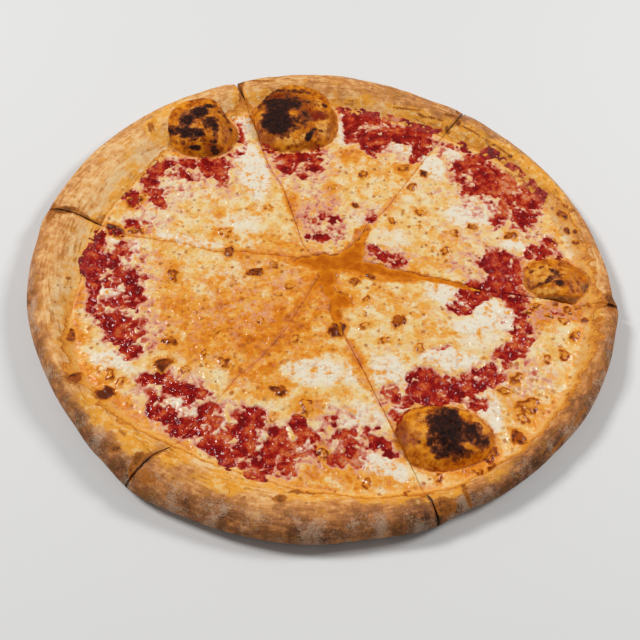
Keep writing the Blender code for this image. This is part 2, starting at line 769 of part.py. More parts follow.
def main():
    for thing in list(bpy.data.objects):
        bpy.data.objects.remove(thing, do_unlink=True)
    for number in range(1, len(STROKES) + 1):
        add_crust(number, make_material("crust"))
        add_sauce(number, make_material("sauce"))
        add_cheese(number, make_material("cheese"))
    add_oil(make_material("oil"))


main()
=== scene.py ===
"""Looks of a whole cheese pizza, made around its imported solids.

Each slice gets a dense dough wedge, a dense sheet of sauce and a dense sheet of melted
cheese, which replace the plain solids of the same slice.  Lengths are millimetres and
azimuths degrees, counterclockwise from +X; meshes are scaled to metres as they are made.
"""

import math

import bpy
import numpy as np
from mathutils import Matrix, Vector, geometry, noise


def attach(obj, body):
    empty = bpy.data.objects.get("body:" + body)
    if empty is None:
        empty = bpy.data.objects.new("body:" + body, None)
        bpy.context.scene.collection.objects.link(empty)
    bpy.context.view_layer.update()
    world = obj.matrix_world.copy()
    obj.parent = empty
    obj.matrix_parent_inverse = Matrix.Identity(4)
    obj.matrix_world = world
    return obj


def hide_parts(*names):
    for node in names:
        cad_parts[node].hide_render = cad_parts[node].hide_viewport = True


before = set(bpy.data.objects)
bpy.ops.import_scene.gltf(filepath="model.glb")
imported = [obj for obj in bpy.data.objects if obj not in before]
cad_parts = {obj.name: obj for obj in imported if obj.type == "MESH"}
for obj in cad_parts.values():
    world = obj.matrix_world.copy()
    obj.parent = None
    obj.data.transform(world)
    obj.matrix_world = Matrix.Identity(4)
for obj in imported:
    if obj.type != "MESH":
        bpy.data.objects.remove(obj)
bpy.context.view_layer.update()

MM = 0.001

# ---------------------------------------------------------------- sizes of the solids
FLOOR = 4.0               # top of the dough under the sauce
LEDGE = 6.5               # where the rim starts, level with the edge of the cheese
WELL_WALL = 0.4           # run of the well's steep wall
WIDEST_LEVEL = 7.0        # height at which the rim is widest
WIDEST_INSET = 0.15       # how far the looks stay inside the solids' widest line
UNDERCUT = 6.0            # how far the foot of the rim lies inside its widest line
CREST_PLACE = 0.55        # crest of the rim, from the well wall 0 to the widest line 1
BUBBLE_LIMIT = 20.1       # greatest height of a bubble, just under the solids' top
BARE_LEVEL = 6.3          # level of the sauce where no cheese covers it
OIL_LEVEL = 6.1
CHEESE_UNDERSIDE = 5.2
SAUCE_UNDERSIDE = 4.4
HUB = (3.4, 2.3)          # where the strokes cross
PINCH_WIDTH = 3.5         # width of the rim that the knife pressed down at a cut
PINCH_DEPTH = 0.22        # share of the rim's height lost right at the cut
BELOW_ALL = -9.0          # level of a bubble outside its outline
FAR_OUTSIDE = -99.0       # depth inside bubbles, for a slice that has none

# ---------------------------------------------------------------- fineness of the meshes
CHEESE_SPACING = 0.56
SAUCE_SPACING = 0.62
SPARSE_SPACING = 4.0      # sauce that cheese covers
DOUGH_SPACING = 8.0       # dough that the toppings cover
OIL_SPACING = 0.7
RIM_SPACING = 0.72
BUBBLE_SPACING = 0.6
OUTLINE_SPACING = 0.8     # outline of the toppings
BESIDE_CUTS = (0.22, 0.5)  # lines of points along the cuts, and how far from them
BESIDE_SPACING = 0.6
CUT_COARSE = 4.0          # points along a cut of the dough, under the toppings
CUT_FINE = 0.7            # and through the rim
FACE_STEPS = (1.1, 1.0)   # points inside a cut face, along it and up
FACE_FLOOR = (6.0, 1.4)   # points along its lower side, coarse and under the rim
FACE_RIM = 44.0           # length of its part under the rim
DOUGH_MARGIN = 0.3        # free points of the dough stay this far from the cuts
FOOT_ANGLES = np.radians(np.linspace(0.0, 90.0, 11)[1:])
SHARP_ANGLE = math.radians(65.0)
CHEESE_BEYOND_RIM = 13.0  # how far past the inner edge of the rim toppings can lie
SAUCE_BEYOND_RIM = 8.0
CHEESE_LEAST = -0.3       # a triangle stays where its thickness or cover is above this
SAUCE_LEAST = -0.35
SAUCE_SHOWS = 0.6         # sauce is fine where the cheese on it is thinner than this
SAUCE_NEAR = 2.5          # and this near to a bubble or the rim
OFF_GRID = 0.013          # keeps coarse points off the fine ones

# ---------------------------------------------------------------- uneven values
# Factors and limit of the hash that gives random-looking values.
HASH_FACTORS = (374761393, 668265263, 2246822519, 3266489917)
HASH_LIMIT = 0xFFFFFFFF
GRID_SHIFT = 512.0        # keeps the numbers of the cells positive

# ---------------------------------------------------------------- outlines of the solids
# Rings of (azimuth, value).
WELL_RADIUS = [
    (0, 135), (20, 134), (40, 130), (55, 124), (70, 122), (90, 123), (111, 124),
    (130, 121), (150, 118), (168, 120), (185, 122), (200, 128), (212, 131), (225, 126),
    (240, 122), (255, 122), (270, 125), (285, 130), (300, 136), (320, 138), (340, 138),
]
WIDEST_RADIUS = [
    (0, 152.3), (12, 150.6), (22, 149.5), (30, 149.4), (45, 148.8), (57, 149.4), (66, 148.0),
    (85, 151.4), (110, 152.5), (130, 153.0), (148, 153.4), (162, 152.2), (171, 152.2),
    (178, 150.5), (190, 149.9), (212, 147.6), (221, 147.7), (230, 149.4), (240, 152.4),
    (250, 151.2), (260, 151.3), (270, 151.4), (280, 150.1), (291, 151.4), (298, 149.7),
    (304, 151.2), (316, 151.7), (330, 153.4), (346, 154.0), (353, 155.3), (356, 152.6),
]
CREST_HEIGHT = [
    (0, 13.0), (30, 12.5), (60, 14.0), (90, 16.0), (115, 15.5), (140, 14.5), (165, 13.0),
    (190, 15.0), (215, 16.0), (240, 15.0), (270, 14.5), (295, 14.5), (320, 14.0),
    (345, 14.5),
]
# Strokes of the knife from the hub outwards: knots, half gaps of the dough and of the
# toppings as (distance, half width), and how torn the dough is at the rim.
STROKES = (
    ([(23, 1.5), (46, -2), (60, -3.8), (78, -8), (112, -12.2), (137, -16.8), (160, -19)],
     [(0, 0.20), (118, 0.20), (132, 0.45), (150, 0.80)],
     [(0, 2.3), (30, 2.1), (50, 1.5), (74, 0.75), (86, 0.16)], 0.5),
    ([(12, 10), (20.6, 20.6), (25.1, 33.1), (34.3, 43.4), (43.4, 59.4), (54.9, 80),
      (68, 103), (76.5, 113), (88, 134)],
     [(0, 0.14), (130, 0.14), (148, 0.70)],
     [(0, 2.2), (12, 1.9), (26, 0.8), (34, 0.14)], 0.4),
    ([(-8, 13.7), (-13.7, 29.7), (-22.9, 57.1), (-32, 74.3), (-42, 104), (-47.5, 118),
      (-52.6, 129), (-61, 149)],
     [(0, 0.14), (130, 0.20), (150, 1.3)], [(0, 0.14), (160, 0.14)], 0.3),
    ([(-15, 7), (-32, 8), (-41, 9.1), (-55, 8), (-75.4, 12.6), (-103, 16.5),
      (-117.7, 22.0), (-135, 26.5), (-158, 33)],
     [(0, 0.14), (112, 0.18), (150, 0.35)], [(0, 0.10), (160, 0.12)], 0.8),
    ([(-1, -8), (-8, -24), (-17, -43), (-27.4, -59.4), (-37, -70), (-48, -88),
      (-60.6, -106), (-71, -118), (-87, -138)],
     [(0, 0.12), (128, 0.12), (152, 0.5)], [(0, 0.10), (160, 0.10)], 0.5),
    ([(6.0, -12), (8.6, -23), (12, -37), (22.9, -60.6), (34.3, -85.7), (46.9, -114.3),
      (53, -130), (61, -149)],
     [(0, 0.14), (135, 0.12), (150, 0.5)],
     [(0, 1.8), (14, 1.6), (30, 0.8), (40, 0.16)], 0.3),
)
# Distance from the hub at which the toppings of each slice begin.
TOPPING_TIPS = (8.0, 6.5, 5.0, 3.5, 7.0, 6.0)
BLOB_LOBES = 0.09         # unevenness of a bubble's outline, as a share of its radius
# Bubbles of dough: slice, centre, half axes, turn, seed, apex.
BUBBLES = (
    (1, (124, -1, 17, 15, 0, 1), 13.0),
    (2, (-20, 110, 26.5, 25, 0, 2), 19.0),
    (3, (-73, 98, 20.5, 20, 0, 3), 20.5),
    (6, (60.5, -97, 22.5, 17.5, 0, 4), 16.5),
)

# ---------------------------------------------------------------- what lies where
# Places are given on a level plane 7 mm up, as they show from the point EYE.
EYE = (1.6, -295.3, 369.6)
# Soft patches: x, y, half length, half width, turn of the length, strength.  Places
# ringed by azimuth are (azimuth, value).
BARE_SAUCE = (
    (86, 62, 10, 3.5, 12, 1.6), (93, 70, 12, 5, 75, 1.8), (89, 88, 7, 5, 10, 1.7),
    (97, 92, 7, 4, -10, 1.5), (107, 86, 9, 5.5, -38, 1.8), (118, 76, 7, 5, -55, 1.7),
    (80, 82, 9, 3.5, 15, 1.5), (118, 56, 8, 8, -60, 1.9), (112, 43, 8, 7, 65, 1.9),
    (101, 49, 12, 3, 88, 1.6), (96, 39, 6, 4, 60, 1.5), (75, 97, 6, 3, -10, 1.5),
    (66, 99, 4, 3, 0, 1.3), (67, 91, 4, 3, 60, 1.2), (83, 97, 5, 3, -40, 1.3),
    (118, 17, 8, 6, 10, 1.9), (123, 25, 5, 3.5, 60, 1.6), (129, 13, 4, 6, 0, 1.4),
    (93, 9, 9, 11, 0, 2.4), (95, -7, 9, 8, 0, 2.4), (104, 3, 4, 12, 0, 1.8),
    (102, -14, 6, 8, 20, 2.0), (104, -26, 3.5, 8, 12, 1.5), (80, -13, 12, 6.5, 33, 2.4),
    (74, -21, 7, 5, 20, 1.9), (101, -35, 4, 5, 0, 1.1), (96, -47, 8, 4.5, 20, 1.8),
    (104, -42, 5, 3.5, 25, 1.6), (91, -53, 4, 3, 0, 1.3), (85, -60, 8, 5, -5, 1.4),
    (60, -69, 15, 7, 0, 2.6), (50, -67, 6, 7, 0, 2.2), (56, -76, 14, 5, -5, 2.2),
    (77, -69, 9, 3, 20, 1.7), (77, -77, 6, 6, 0, 1.3), (37, -76, 7, 6, 0, 1.5),
    (44, -81, 7, 4, 30, 1.5), (39, -86, 4, 6, 25, 1.0), (62, -47, 5, 2, 0, 0.9),
    (16, 117, 7, 6, 0, 2.0), (31, 119, 13, 4.5, 3, 2.1), (45, 120, 9, 4, -12, 1.7),
    (54, 108, 8, 8, -40, 2.1), (56, 96, 5, 12, -14, 2.1), (38, 106, 9, 6, 0, 1.7),
    (28, 97, 8, 8, -10, 2.0), (14, 108, 4, 10, -10, 1.6), (22, 102, 6, 5, 0, 1.5),
    (46, 102, 9, 4, 10, 1.8), (29, 89, 5, 4, 0, 1.2), (52, 86, 3, 6, -15, 1.4),
    (-22, 80, 7, 5, 0, 1.5), (-12, 83, 9, 4, 10, 1.5), (-6, 79, 4, 8, -20, 1.6),
    (-20, 72, 5, 4, 0, 1.2), (-5, 90, 6, 3, 0, 1.3), (-12, 67, 2.5, 2.5, 0, 1.3),
    (-33, 86, 4, 8, 35, 1.2), (-1, 22, 6, 4, 0, 1.7), (6, 34, 4, 3.5, 0, 1.1),
    (-3, 35, 3, 4, 0, 0.9), (30, 14, 5, 3.5, 0, 1.2), (35, 8, 4, 4.5, 0, 1.3),
    (42, 6, 4, 3.5, 0, 1.0), (17, 46, 2, 2, 0, 1.2), (27, 38, 3, 3, 0, 0.9),
    (-97, 66, 7, 6, 50, 1.7), (-98, 58, 5, 8, 0, 1.6), (-91, 72, 6, 4, 20, 1.4),
    (-77, 74, 5, 4, 0, 1.8), (-67, 71, 4, 7, 15, 1.8), (-58, 74, 5, 7, -10, 1.8),
    (-58, 65, 4, 6, 0, 1.3), (-80, 64, 7, 2.5, -30, 1.2), (-95, 49, 6, 3, 0, 1.2),
    (-90, 42, 4, 5, 30, 1.6), (-105, 44, 5, 6, 0, 1.6), (-103, 24, 5, 3, -20, 1.4),
    (-93, 24, 5, 2, -30, 0.8), (-52, 82, 6, 3, -20, 1.1), (-50, 97, 1.8, 12, 12, 1.2),
    (-53, 113, 4, 2, 0, 0.8), (-112, 18, 8, 3, 0, 1.4), (-97, 20, 5, 2, 0, 1.0),
    (-119, 10, 5, 9, 0, 2.2), (-119, -4, 6, 12, 8, 2.4), (-116, -17, 4, 8, 12, 1.9),
    (-106, 8, 3.5, 6, 10, 1.6), (-110, -2, 6, 5, -40, 2.0), (-105, -8, 6, 4, -50, 1.9),
    (-99, -13, 4, 7, 30, 1.7), (-94, -21, 4, 7, 35, 1.6), (-107, -16, 5, 3, 0, 1.2),
    (-103, -29, 7, 2.5, -15, 1.5), (-111, -33, 4, 3.5, 0, 1.4), (-116, -29, 2.5, 7, 0, 1.3),
    (-94, -32, 3, 4, 0, 1.2), (-99, -42, 9, 5, -10, 2.0), (-96, -50, 9, 6, -20, 1.9),
    (-92, -58, 6, 4, -10, 1.6), (-86, -54, 3, 6, 0, 1.4), (-107, -39, 5, 2.5, -20, 1.4),
    (-76, -73, 8, 4, 0, 1.6), (-65, -77, 7, 4, -15, 1.4), (-53, -79, 6, 3.5, 0, 1.4),
    (-74, -87, 4, 5, 20, 1.7), (-67, -93, 7, 4, -30, 1.8), (-57, -98, 8, 5.5, 20, 2.1),
    (-50, -90, 4, 7, -40, 1.7), (-46, -98, 3, 8, -20, 1.3), (-58, -83, 3, 4, 0, 1.1),
    (-28, -92, 7, 4.5, 10, 1.8), (-29, -101, 4, 9, 0, 1.8), (-41, -109, 9, 5, -25, 2.0),
    (-35, -115, 7, 3.5, -10, 1.7), (-21, -117, 8, 6, 0, 1.8), (-17, -103, 4, 8, -15, 1.8),
    (-37, -100, 5, 5, 0, 1.1), (-8, -108, 6, 6, 0, 1.4), (-4, -96, 3.5, 8, 35, 1.6),
    (-13, -118, 6, 4, 0, 1.4), (16, -98, 7, 3, 25, 1.4), (19, -107, 4.5, 8, 0, 1.6),
    (13, -111, 4, 4, 0, 1.3), (32, -101, 7, 3, -20, 1.7), (38, -106, 4, 3, 0, 1.4),
    (10, -91, 3.5, 3, 0, 1.0), (24, -112, 5, 4, 0, 0.9), (27, -95, 6, 1.8, 10, 0.9),
    (120, 71, 5, 9, 10, 2.0), (112, 84, 8, 4, -40, 1.6), (123, 60, 5, 6, 0, 1.6),
    (103, 68, 6, 9, 0, 1.7), (92, 80, 8, 8, 0, 0.6), (76, 68, 6, 5, 0, 0.3), (98, 58, 6, 6, 0, 0.9),
    (104, 48, 5, 8, 0, 0.9), (84, 56, 8, 4, 0, 0.4), (100, 96, 6, 4, -40, 1.3),
    (63, 112, 6, 5, -40, 1.6), (30, 126, 14, 4, -6, 1.6), (10, 124, 5, 5, 0, 1.4),
    (105, 56, 4, 8, 0, 1.3),
)
SHEER_CHEESE = (
    (88, 74, 18, 14, -45, 0.7), (110, 64, 14, 14, 0, 0.75), (88, 50, 14, 12, 0, 0.5),
    (7, 26, 9, 10, 0, 0.5), (112, 30, 14, 8, 0, 0.45), (80, 30, 14, 10, 0, 0.25),
    (76, 8, 12, 12, 0, 0.3), (102, -32, 10, 12, 0, 0.5), (118, -21, 17, 6, 6, 0.5),
    (108, 0, 4, 14, 0, 0.6), (100, -60, 16, 14, 0, 0.42), (80, -66, 14, 12, 0, 0.45),
    (30, 106, 30, 16, -8, 0.55), (44, 90, 14, 8, 0, 0.35), (-14, 76, 20, 14, 0, 0.55),
    (0, 36, 14, 20, 0, 0.45), (32, 10, 18, 9, 0, 0.4), (24, 42, 12, 8, 20, 0.35),
    (-80, 62, 26, 18, 20, 0.5), (-55, 62, 10, 16, 0, 0.35), (-52, 105, 8, 22, 0, 0.4),
    (-94, 34, 14, 14, 0, 0.45), (-100, -5, 14, 24, 20, 0.5), (-104, -28, 14, 14, 0, 0.55),
    (-90, -40, 14, 22, 30, 0.45), (-66, -82, 20, 16, -20, 0.55), (-36, -101, 22, 16, -15, 0.6),
    (-5, -104, 22, 14, 0, 0.55), (18, -98, 20, 16, 0, 0.45), (-30, -10, 22, 14, 10, 0.16),
    (-40, -32, 20, 12, 10, 0.15), (62, 64, 12, 10, 0, 0.25), (-10, 60, 10, 12, 0, 0.3),
)
FRESH_WHITE = (
    (90, -26, 11, 9, 0, 1.4), (68, -14, 12, 7, -20, 0.8), (80, -33, 12, 5, 0, 0.9),
    (66, -53, 14, 6, 0, 1.0), (36, -62, 10, 9, 0, 0.8), (82, -42, 14, 7, 0, 0.5),
    (80, 42, 14, 9, 0, 0.8), (62, 78, 7, 10, 20, 0.9), (45, 94, 6, 8, 0, 0.9),
    (74, 90, 4, 6, 30, 0.9), (9, 108, 2.6, 14, 5, 1.1), (104, 24, 8, 6, 0, 0.8),
    (88, 52, 12, 6, 0, 0.6), (-40, 66, 9, 18, 15, 1.1), (-45, 82, 7, 8, 0, 1.0),
    (-50, 110, 5, 16, 12, 0.8), (-102, 83, 7, 6, 0, 0.7), (-78, 52, 20, 8, 0, 0.4),
    (-45, 28, 16, 8, 0, 0.55), (-70, 14, 24, 4.5, -8, 0.6), (-92, 32, 9, 8, 0, 0.5),
    (-110, 14, 6, 4, 0, 0.7), (-98, 6, 4, 9, 0, 0.6), (-62, -87, 8, 6, -20, 1.0),
    (-98, -64, 14, 5, -20, 0.7), (2, -64, 16, 9, 0, 0.7), (24, -88, 14, 8, 0, 0.6),
    (32, -113, 14, 6, -25, 0.9), (-2, -103, 4, 8, 0, 0.8), (-24, -102, 3, 8, 0, 0.7),
    (84, -84, 5, 14, 0, 0.7), (90, -64, 14, 8, 0, 0.4), (42, -84, 4, 3, 0, 1.0),
    (38, 24, 12, 8, -20, 0.5), (20, 36, 6, 6, 0, 0.5), (50, 58, 14, 12, 0, 0.3),
    (-44, -96, 4, 5, 0, 0.7), (-106, -22, 6, 5, 0, 0.8), (18, -64, 10, 8, 0, 0.5),
    (-50, -9, 6, 6, 0, 0.5), (136, 20, 6, 20, 0, 0.5), (115, -60, 5, 12, 10, 0.4),
)
OILY_ORANGE = (
    (-16, -10, 18, 14, 0, 0.75), (-30, 2, 18, 9, 0, 0.5), (-56, -12, 22, 10, 10, 0.5),
    (30, 75, 14, 8, 0, 0.45), (18, 82, 12, 8, 0, 0.4), (-10, 4, 12, 3.5, 0, 1.5),
    (17, 9, 9, 6, 40, 1.5), (34, -3, 20, 3.5, -3, 1.4), (7, -12, 5, 10, 10, 1.5),
    (13, -20, 6, 5, 0, 1.5), (21, 24, 3, 9, -20, 1.2), (11, -36, 4, 7, 0, 1.2),
    (-30, -46, 14, 4, 10, 1.3), (-12, -38, 12, 5, 0, 1.3), (-48, -28, 6, 5, -30, 1.2),
    (-24, -66, 12, 4, 40, 1.2), (-58, -46, 8, 6, 0, 1.1), (-28, -40, 34, 18, 20, 1.0),
    (-4, -20, 14, 22, 0, 0.9), (-62, -34, 22, 14, 0, 0.85), (-50, -52, 20, 12, 10, 0.7),
    (-16, 8, 16, 10, 0, 0.7), (-40, -24, 16, 10, 0, 0.8), (-10, -50, 20, 8, 0, 0.8),
    (-22, -74, 16, 6, 0, 0.7), (-2, -84, 7, 6, 0, 1.0), (15, 86, 9, 7, 0, 0.9),
    (0, 72, 12, 6, 0, 0.5), (44, 76, 6, 5, 0, 1.0), (-14, 42, 5, 18, 20, 0.7),
    (4, 56, 6, 8, 0, 0.8), (0, 46, 12, 6, 0, 0.5), (24, 26, 4, 12, -25, 0.6),
    (24, 12, 5, 6, 0, 0.8), (14, -20, 6, 9, 0, 1.0), (10, -38, 5, 5, 0, 1.0),
    (22, -60, 4, 14, 20, 0.9), (-32, -62, 10, 5, 45, 0.8), (-104, 68, 3.5, 12, 15, 1.2),
    (-104, 42, 6, 7, 0, 0.9), (-100, 20, 10, 3, 0, 1.0), (-78, -8, 12, 8, 0, 0.6),
    (-88, -2, 8, 10, 0, 0.5), (-80, -28, 8, 6, 0, 0.6), (120, -21, 18, 6, 8, 1.7),
    (112, -26, 10, 8, 0, 0.7), (133, -20, 10, 5, 10, 0.9), (20, -118, 24, 5, -10, 0.7),
    (-5, -121, 14, 4, 0, 0.5), (-12, -18, 13, 12, 0, 0.6), (108, -30, 6, 6, 0, 0.7),
    (106, 4, 3, 12, 0, 0.9), (96, -64, 4, 5, 0, 0.9), (92, -70, 4, 5, 0, 0.8),
    (100, -78, 10, 8, 0, 0.5), (74, -112, 14, 5, 10, 0.7), (42, -98, 4, 14, 0, 1.0),
    (18, -121, 10, 4, -20, 0.9), (5, -118, 10, 3, 0, 0.8), (0, -127, 12, 4, 0, 0.7),
    (-118, -48, 7, 8, 0, 0.7), (-105, -73, 8, 7, 0, 0.7), (-84, -94, 16, 8, -40, 0.7),
    (-66, -106, 12, 5, -20, 0.8), (-120, -28, 3, 10, 0, 0.8), (-122, -8, 3, 14, 0, 0.5),
    (132, 46, 3, 8, 10, 1.0), (122, 66, 5, 10, 20, 0.8), (72, 72, 4, 4, 0, 0.8),
    (70, 26, 8, 4, 30, 0.6), (66, 8, 16, 5, 0, 0.4), (48, 6, 6, 6, 0, 0.6),
    (-60, 40, 6, 12, 20, 0.4), (-53, 21, 6, 4, 0, 0.8), (-35, 40, 10, 5, 0, 0.4),
    (-28, 20, 6, 8, 0, 0.4), (38, -20, 18, 10, 0, 0.35), (60, -36, 14, 5, 0, 0.4),
    (-72, -52, 8, 6, 0, 0.8),
)
# Browned blisters: x, y, radius, depth of colour.
BLISTERS = (
    (-33.5, -5, 4.0, 1.3), (-24, 0.5, 2.6, 1.0), (-76, -10, 4.2, 1.0), (41, -32, 4.2, 1.1),
    (34, -44, 2.6, 0.9), (-17, -76, 4.2, 1.2), (-3, -84, 4.6, 0.8), (22.5, 70.5, 3.4, 0.9),
    (45, 77, 4.0, 0.9), (54, 43, 3.4, 0.9), (38.5, 35.5, 2.6, 0.9), (66.5, 16, 3.0, 0.9),
    (-73, -64, 4.4, 1.3), (-72, -51, 4.0, 1.1), (-44, -62, 3.6, 0.9), (-54, -57, 3.0, 0.8),
    (-62, -67, 2.8, 0.8), (-30, 41, 2.8, 0.7), (-52, 21, 4.4, 0.7), (-48, 8, 4.0, 1.1),
    (10.5, -39, 5.0, 1.3), (18, -8, 3.2, 1.0), (27, -4, 3.0, 1.1), (12, -22, 4.4, 0.7),
    (25, -19, 2.4, 0.9), (24, -36, 3.0, 0.8), (18, 46, 2.0, 1.3), (57, 73, 2.4, 1.5),
    (50, 62, 3.0, 1.0), (103, 29, 3.6, 1.1), (82.5, 34, 3.0, 1.0), (72, 29, 3.0, 0.8),
    (51.5, -47.5, 3.4, 0.8), (-104, 42, 5.4, 1.2), (-100, 20, 4.0, 1.0), (-111, 19, 5.0, 1.4),
    (-120, -51, 3.4, 1.1), (-114, -76, 4.4, 1.2), (-98, -82, 4.6, 1.5), (-109, -82, 2.4, 1.0),
    (-97, -72, 3.6, 0.9), (-92, -76, 3.0, 0.8), (102, -78, 6.0, 0.9), (99, -85, 3.4, 0.8),
    (96, -95, 4.2, 1.2), (82, -105, 4.6, 1.0), (84, -112, 3.4, 1.0), (76, -114, 3.0, 0.9),
    (123, -48, 3.6, 0.9), (114, -51, 2.8, 0.8), (98, -63, 3.8, 0.9), (91, -70, 3.0, 0.9),
    (133, 46, 3.6, 1.1), (134, 34, 2.4, 1.3), (139, 34, 1.8, 1.3), (138, 26, 2.2, 1.0),
    (136, 53, 2.2, 1.0), (126, 26, 3.0, 0.8), (130, -36, 3.4, 0.9), (136, -26, 2.0, 1.2),
    (125, -27, 2.6, 0.8), (6, -108, 3.6, 1.0), (-18, -91, 2.6, 0.6), (-12, -131, 3.0, 1.3),
    (2, -130, 3.4, 0.8), (-34, -125, 3.4, 0.7), (26, -122, 3.0, 0.9), (5, 59, 3.0, 0.8),
    (-89, -99, 1.8, 1.3), (-95, -98, 1.4, 1.2), (43, -127, 1.6, 1.1), (-44, -120, 1.6, 0.9),
    (-15, -13, 3.0, 0.8), (-28, -36, 3.0, 0.8), (-10, -46, 3.0, 0.7), (-49, -43, 2.4, 0.8),
    (-20, -19, 2.0, 0.8), (60, -130, 4.5, 1.4), (66, -132, 4.0, 1.4), (58, -118, 2.6, 0.8),
    (112, -18, 2.6, 1.0), (118, -24, 2.2, 0.9), (128, -20, 3.0, 1.0), (122, -16, 2.0, 1.1),
    (108, -22, 2.0, 0.8), (133, -18, 2.2, 1.0), (140, -17, 2.4, 0.9), (104, -18, 1.8, 0.8),
)
# Golden places on the bare dough, and its dark pits and burns.
GOLDEN_RIM = (
    (118, 62, 6, 15, 22, 1.2), (104, 87, 13, 6, -45, 1.2), (88, 101, 12, 6, -35, 1.1),
    (70, 111, 11, 6, -30, 1.0), (124, 44, 4, 11, 8, 0.9), (111, 92, 13, 5, -45, 1.0),
    (126, 74, 5, 9, 20, 0.8), (-103, 101, 4, 8, 0, 1.4), (-97, 113, 16, 5, 52, 0.7),
    (-52, 128, 5, 14, 15, 0.9), (-46, 130, 6, 7, 0, 1.0), (-90, 92, 12, 8, 0, 0.9),
    (20, 133, 10, 5, 0, 0.9), (56, 120, 22, 6, -28, 1.0), (84, 108, 16, 8, -36, 1.0),
    (100, 97, 12, 6, -40, 1.0), (118, 84, 9, 6, -50, 0.9), (129, 64, 6, 12, 18, 0.9),
    (136, 44, 4, 12, 5, 0.7), (-125, 8, 4, 14, 0, 0.35), (-127, -14, 5, 14, 10, 0.35),
    (-122, -36, 7, 12, 15, 0.9), (-118, -52, 9, 8, 0, 0.9), (-110, -68, 10, 8, -40, 0.8),
    (-98, -92, 14, 7, -45, 0.8), (-80, -106, 14, 6, -35, 0.9), (-60, -112, 8, 6, 0, 0.9),
    (-36, -125, 12, 5, -8, 1.0), (0, -126, 18, 5, 0, 1.0), (26, -125, 12, 5, -10, 1.0),
    (50, -127, 12, 6, 0, 0.9), (120, -20, 20, 7, 8, 1.3), (60, -131, 7, 6, 0, 1.5),
    (68, -124, 5, 10, 20, 1.2), (84, -113, 10, 4, 15, 0.5), (-112, 46, 6, 16, 0, 0.8),
    (-38, 133, 5, 8, 0, 1.0), (-110, 66, 4, 18, 15, 0.6), (4, 122, 6, 12, 0, 0.7),
    (130, -12, 24, 3, 0, 1.2), (136, -22, 10, 6, 20, 0.9), (-116, 24, 12, 6, -10, 0.9),
)
RIM_BURNS = (
    (-116, 28, 4, 2.5, 0, 0.8), (-141, 32, 7, 2.4, 8, 1.2), (-128, 28, 9, 1.2, -28, 0.9),
    (-116, 22, 6, 1.6, -25, 1.0), (-147, 30, 2, 6, 0, 0.7), (-150, 35, 4, 3, 0, 0.8),
    (-148, 26, 1.2, 4, 0, 0.7), (-113, -75, 6, 2.6, -22, 0.9), (-98, -82, 5, 4, 0, 1.0),
    (-88, -111, 2.4, 2, 0, 1.1), (-120, -51, 2, 4.5, 15, 0.8), (-72, -124, 6, 4, -20, 0.5),
    (108, 91, 1.6, 1.4, 0, 1.3), (72, 111, 1.2, 3.6, 0, 1.1), (79, 118, 1.8, 3, 0, 1.2),
    (74, 124, 4, 1.4, -10, 1.0), (57, 123, 3.4, 1.2, -35, 1.0), (63, 121, 3, 1.2, -20, 0.9),
    (68, 119.5, 2, 1.2, 0, 0.9), (48, 128, 9, 1.0, -6, 0.8), (86, 112, 8, 0.9, -38, 0.7),
    (94, 104, 4, 0.8, -40, 0.6), (104, 96, 5, 1, -45, 0.7), (79, 127, 1.4, 2, 0, 1.0),
    (-55, 146, 2.4, 5, 0, 1.1), (-54, 136, 1.6, 9, 8, 0.9), (-42, 147.5, 8, 0.9, 2, 0.7),
    (140, -6, 3, 4.5, 20, 1.0), (130, -13, 20, 1.8, 0, 1.0), (151, -13, 3, 6, 0, 1.2),
    (60, -131, 5, 4, 20, 0.9), (70, -124, 1.4, 8, 18, 0.8), (-77, -116, 2.4, 3.6, -10, 1.0),
    (-79, -122, 1, 5, 10, 1.0), (-70, -113, 6, 0.9, 25, 0.7), (0, -127.5, 9, 0.9, 5, 0.8),
    (-12, -131, 3, 1.6, 0, 0.9), (-129, -15, 1.2, 1.2, 0, 0.8), (126, -82, 8, 0.8, 55, 0.6),
    (134, -62, 6, 0.8, 75, 0.6), (115, -97, 10, 0.8, 48, 0.5), (99, 100, 1.4, 1, 0, 0.8),
    (-104, 101, 2, 4, 0, 0.7), (138, 50, 3, 1.6, 0, 0.6), (141, 26, 1, 4, 0, 0.7),
)
# How far the cheese reaches up the inner slope of the rim.
FILM_REACH = [
    (0, 9), (20, 7.5), (32, 4.5), (45, 2.5), (62, 1.5), (85, 1.5), (105, 3), (116, 6), (135, 4),
    (160, 1.5), (172, 1.5), (195, 1.5), (204, 6), (225, 7), (243, 3), (262, 1.5), (272, 3),
    (285, 4.5), (300, 4), (325, 4.5), (343, 7), (353, 8.5),
]
# How far bare sauce reaches up it.
SAUCE_REACH = [
    (0, 0.0), (15, 1.0), (25, 5.0), (45, 5.5), (66, 3.5), (100, 2.5), (112, 0.0), (140, 1.5),
    (168, 3.0), (184, 4.0), (198, 1.5), (206, -1.5), (230, -1.5), (246, 2.0), (258, 3.5),
    (270, 0.5), (280, -1.5), (350, -1.5),
]
# Depth of baking of the rim with painted light and shade, 0 pale to 1 dark, at its inner edge, crest
# and widest line.
# Painted light: paler at about 188°, where the inner slope lies in shade. Painted shade: darker on
# the outer side at the front, and on the crest and outer side at the lower right, which face away
# from the light.
BAKE_AND_SHADE_INNER = [
    (0, 0.20), (40, 0.28), (60, 0.38), (90, 0.28), (115, 0.20), (140, 0.12), (165, 0.14),
    (188, -0.12), (205, 0.00), (220, 0.18), (235, 0.28), (255, 0.10), (275, 0.24), (300, 0.26),
    (335, 0.26),
]
BAKE_AND_SHADE_CREST = [
    (0, 0.38), (30, 0.42), (55, 0.54), (90, 0.41), (115, 0.32), (140, 0.22), (160, 0.26),
    (175, 0.32), (195, 0.31), (215, 0.38), (240, 0.48), (262, 0.48), (290, 0.60), (318, 0.64),
    (345, 0.53),
]
BAKE_AND_SHADE_OUTER = [
    (0, 0.50), (40, 0.54), (90, 0.44), (120, 0.32), (150, 0.35), (180, 0.50), (205, 0.64),
    (230, 0.76), (260, 0.70), (290, 0.80), (315, 0.86), (340, 0.68),
]
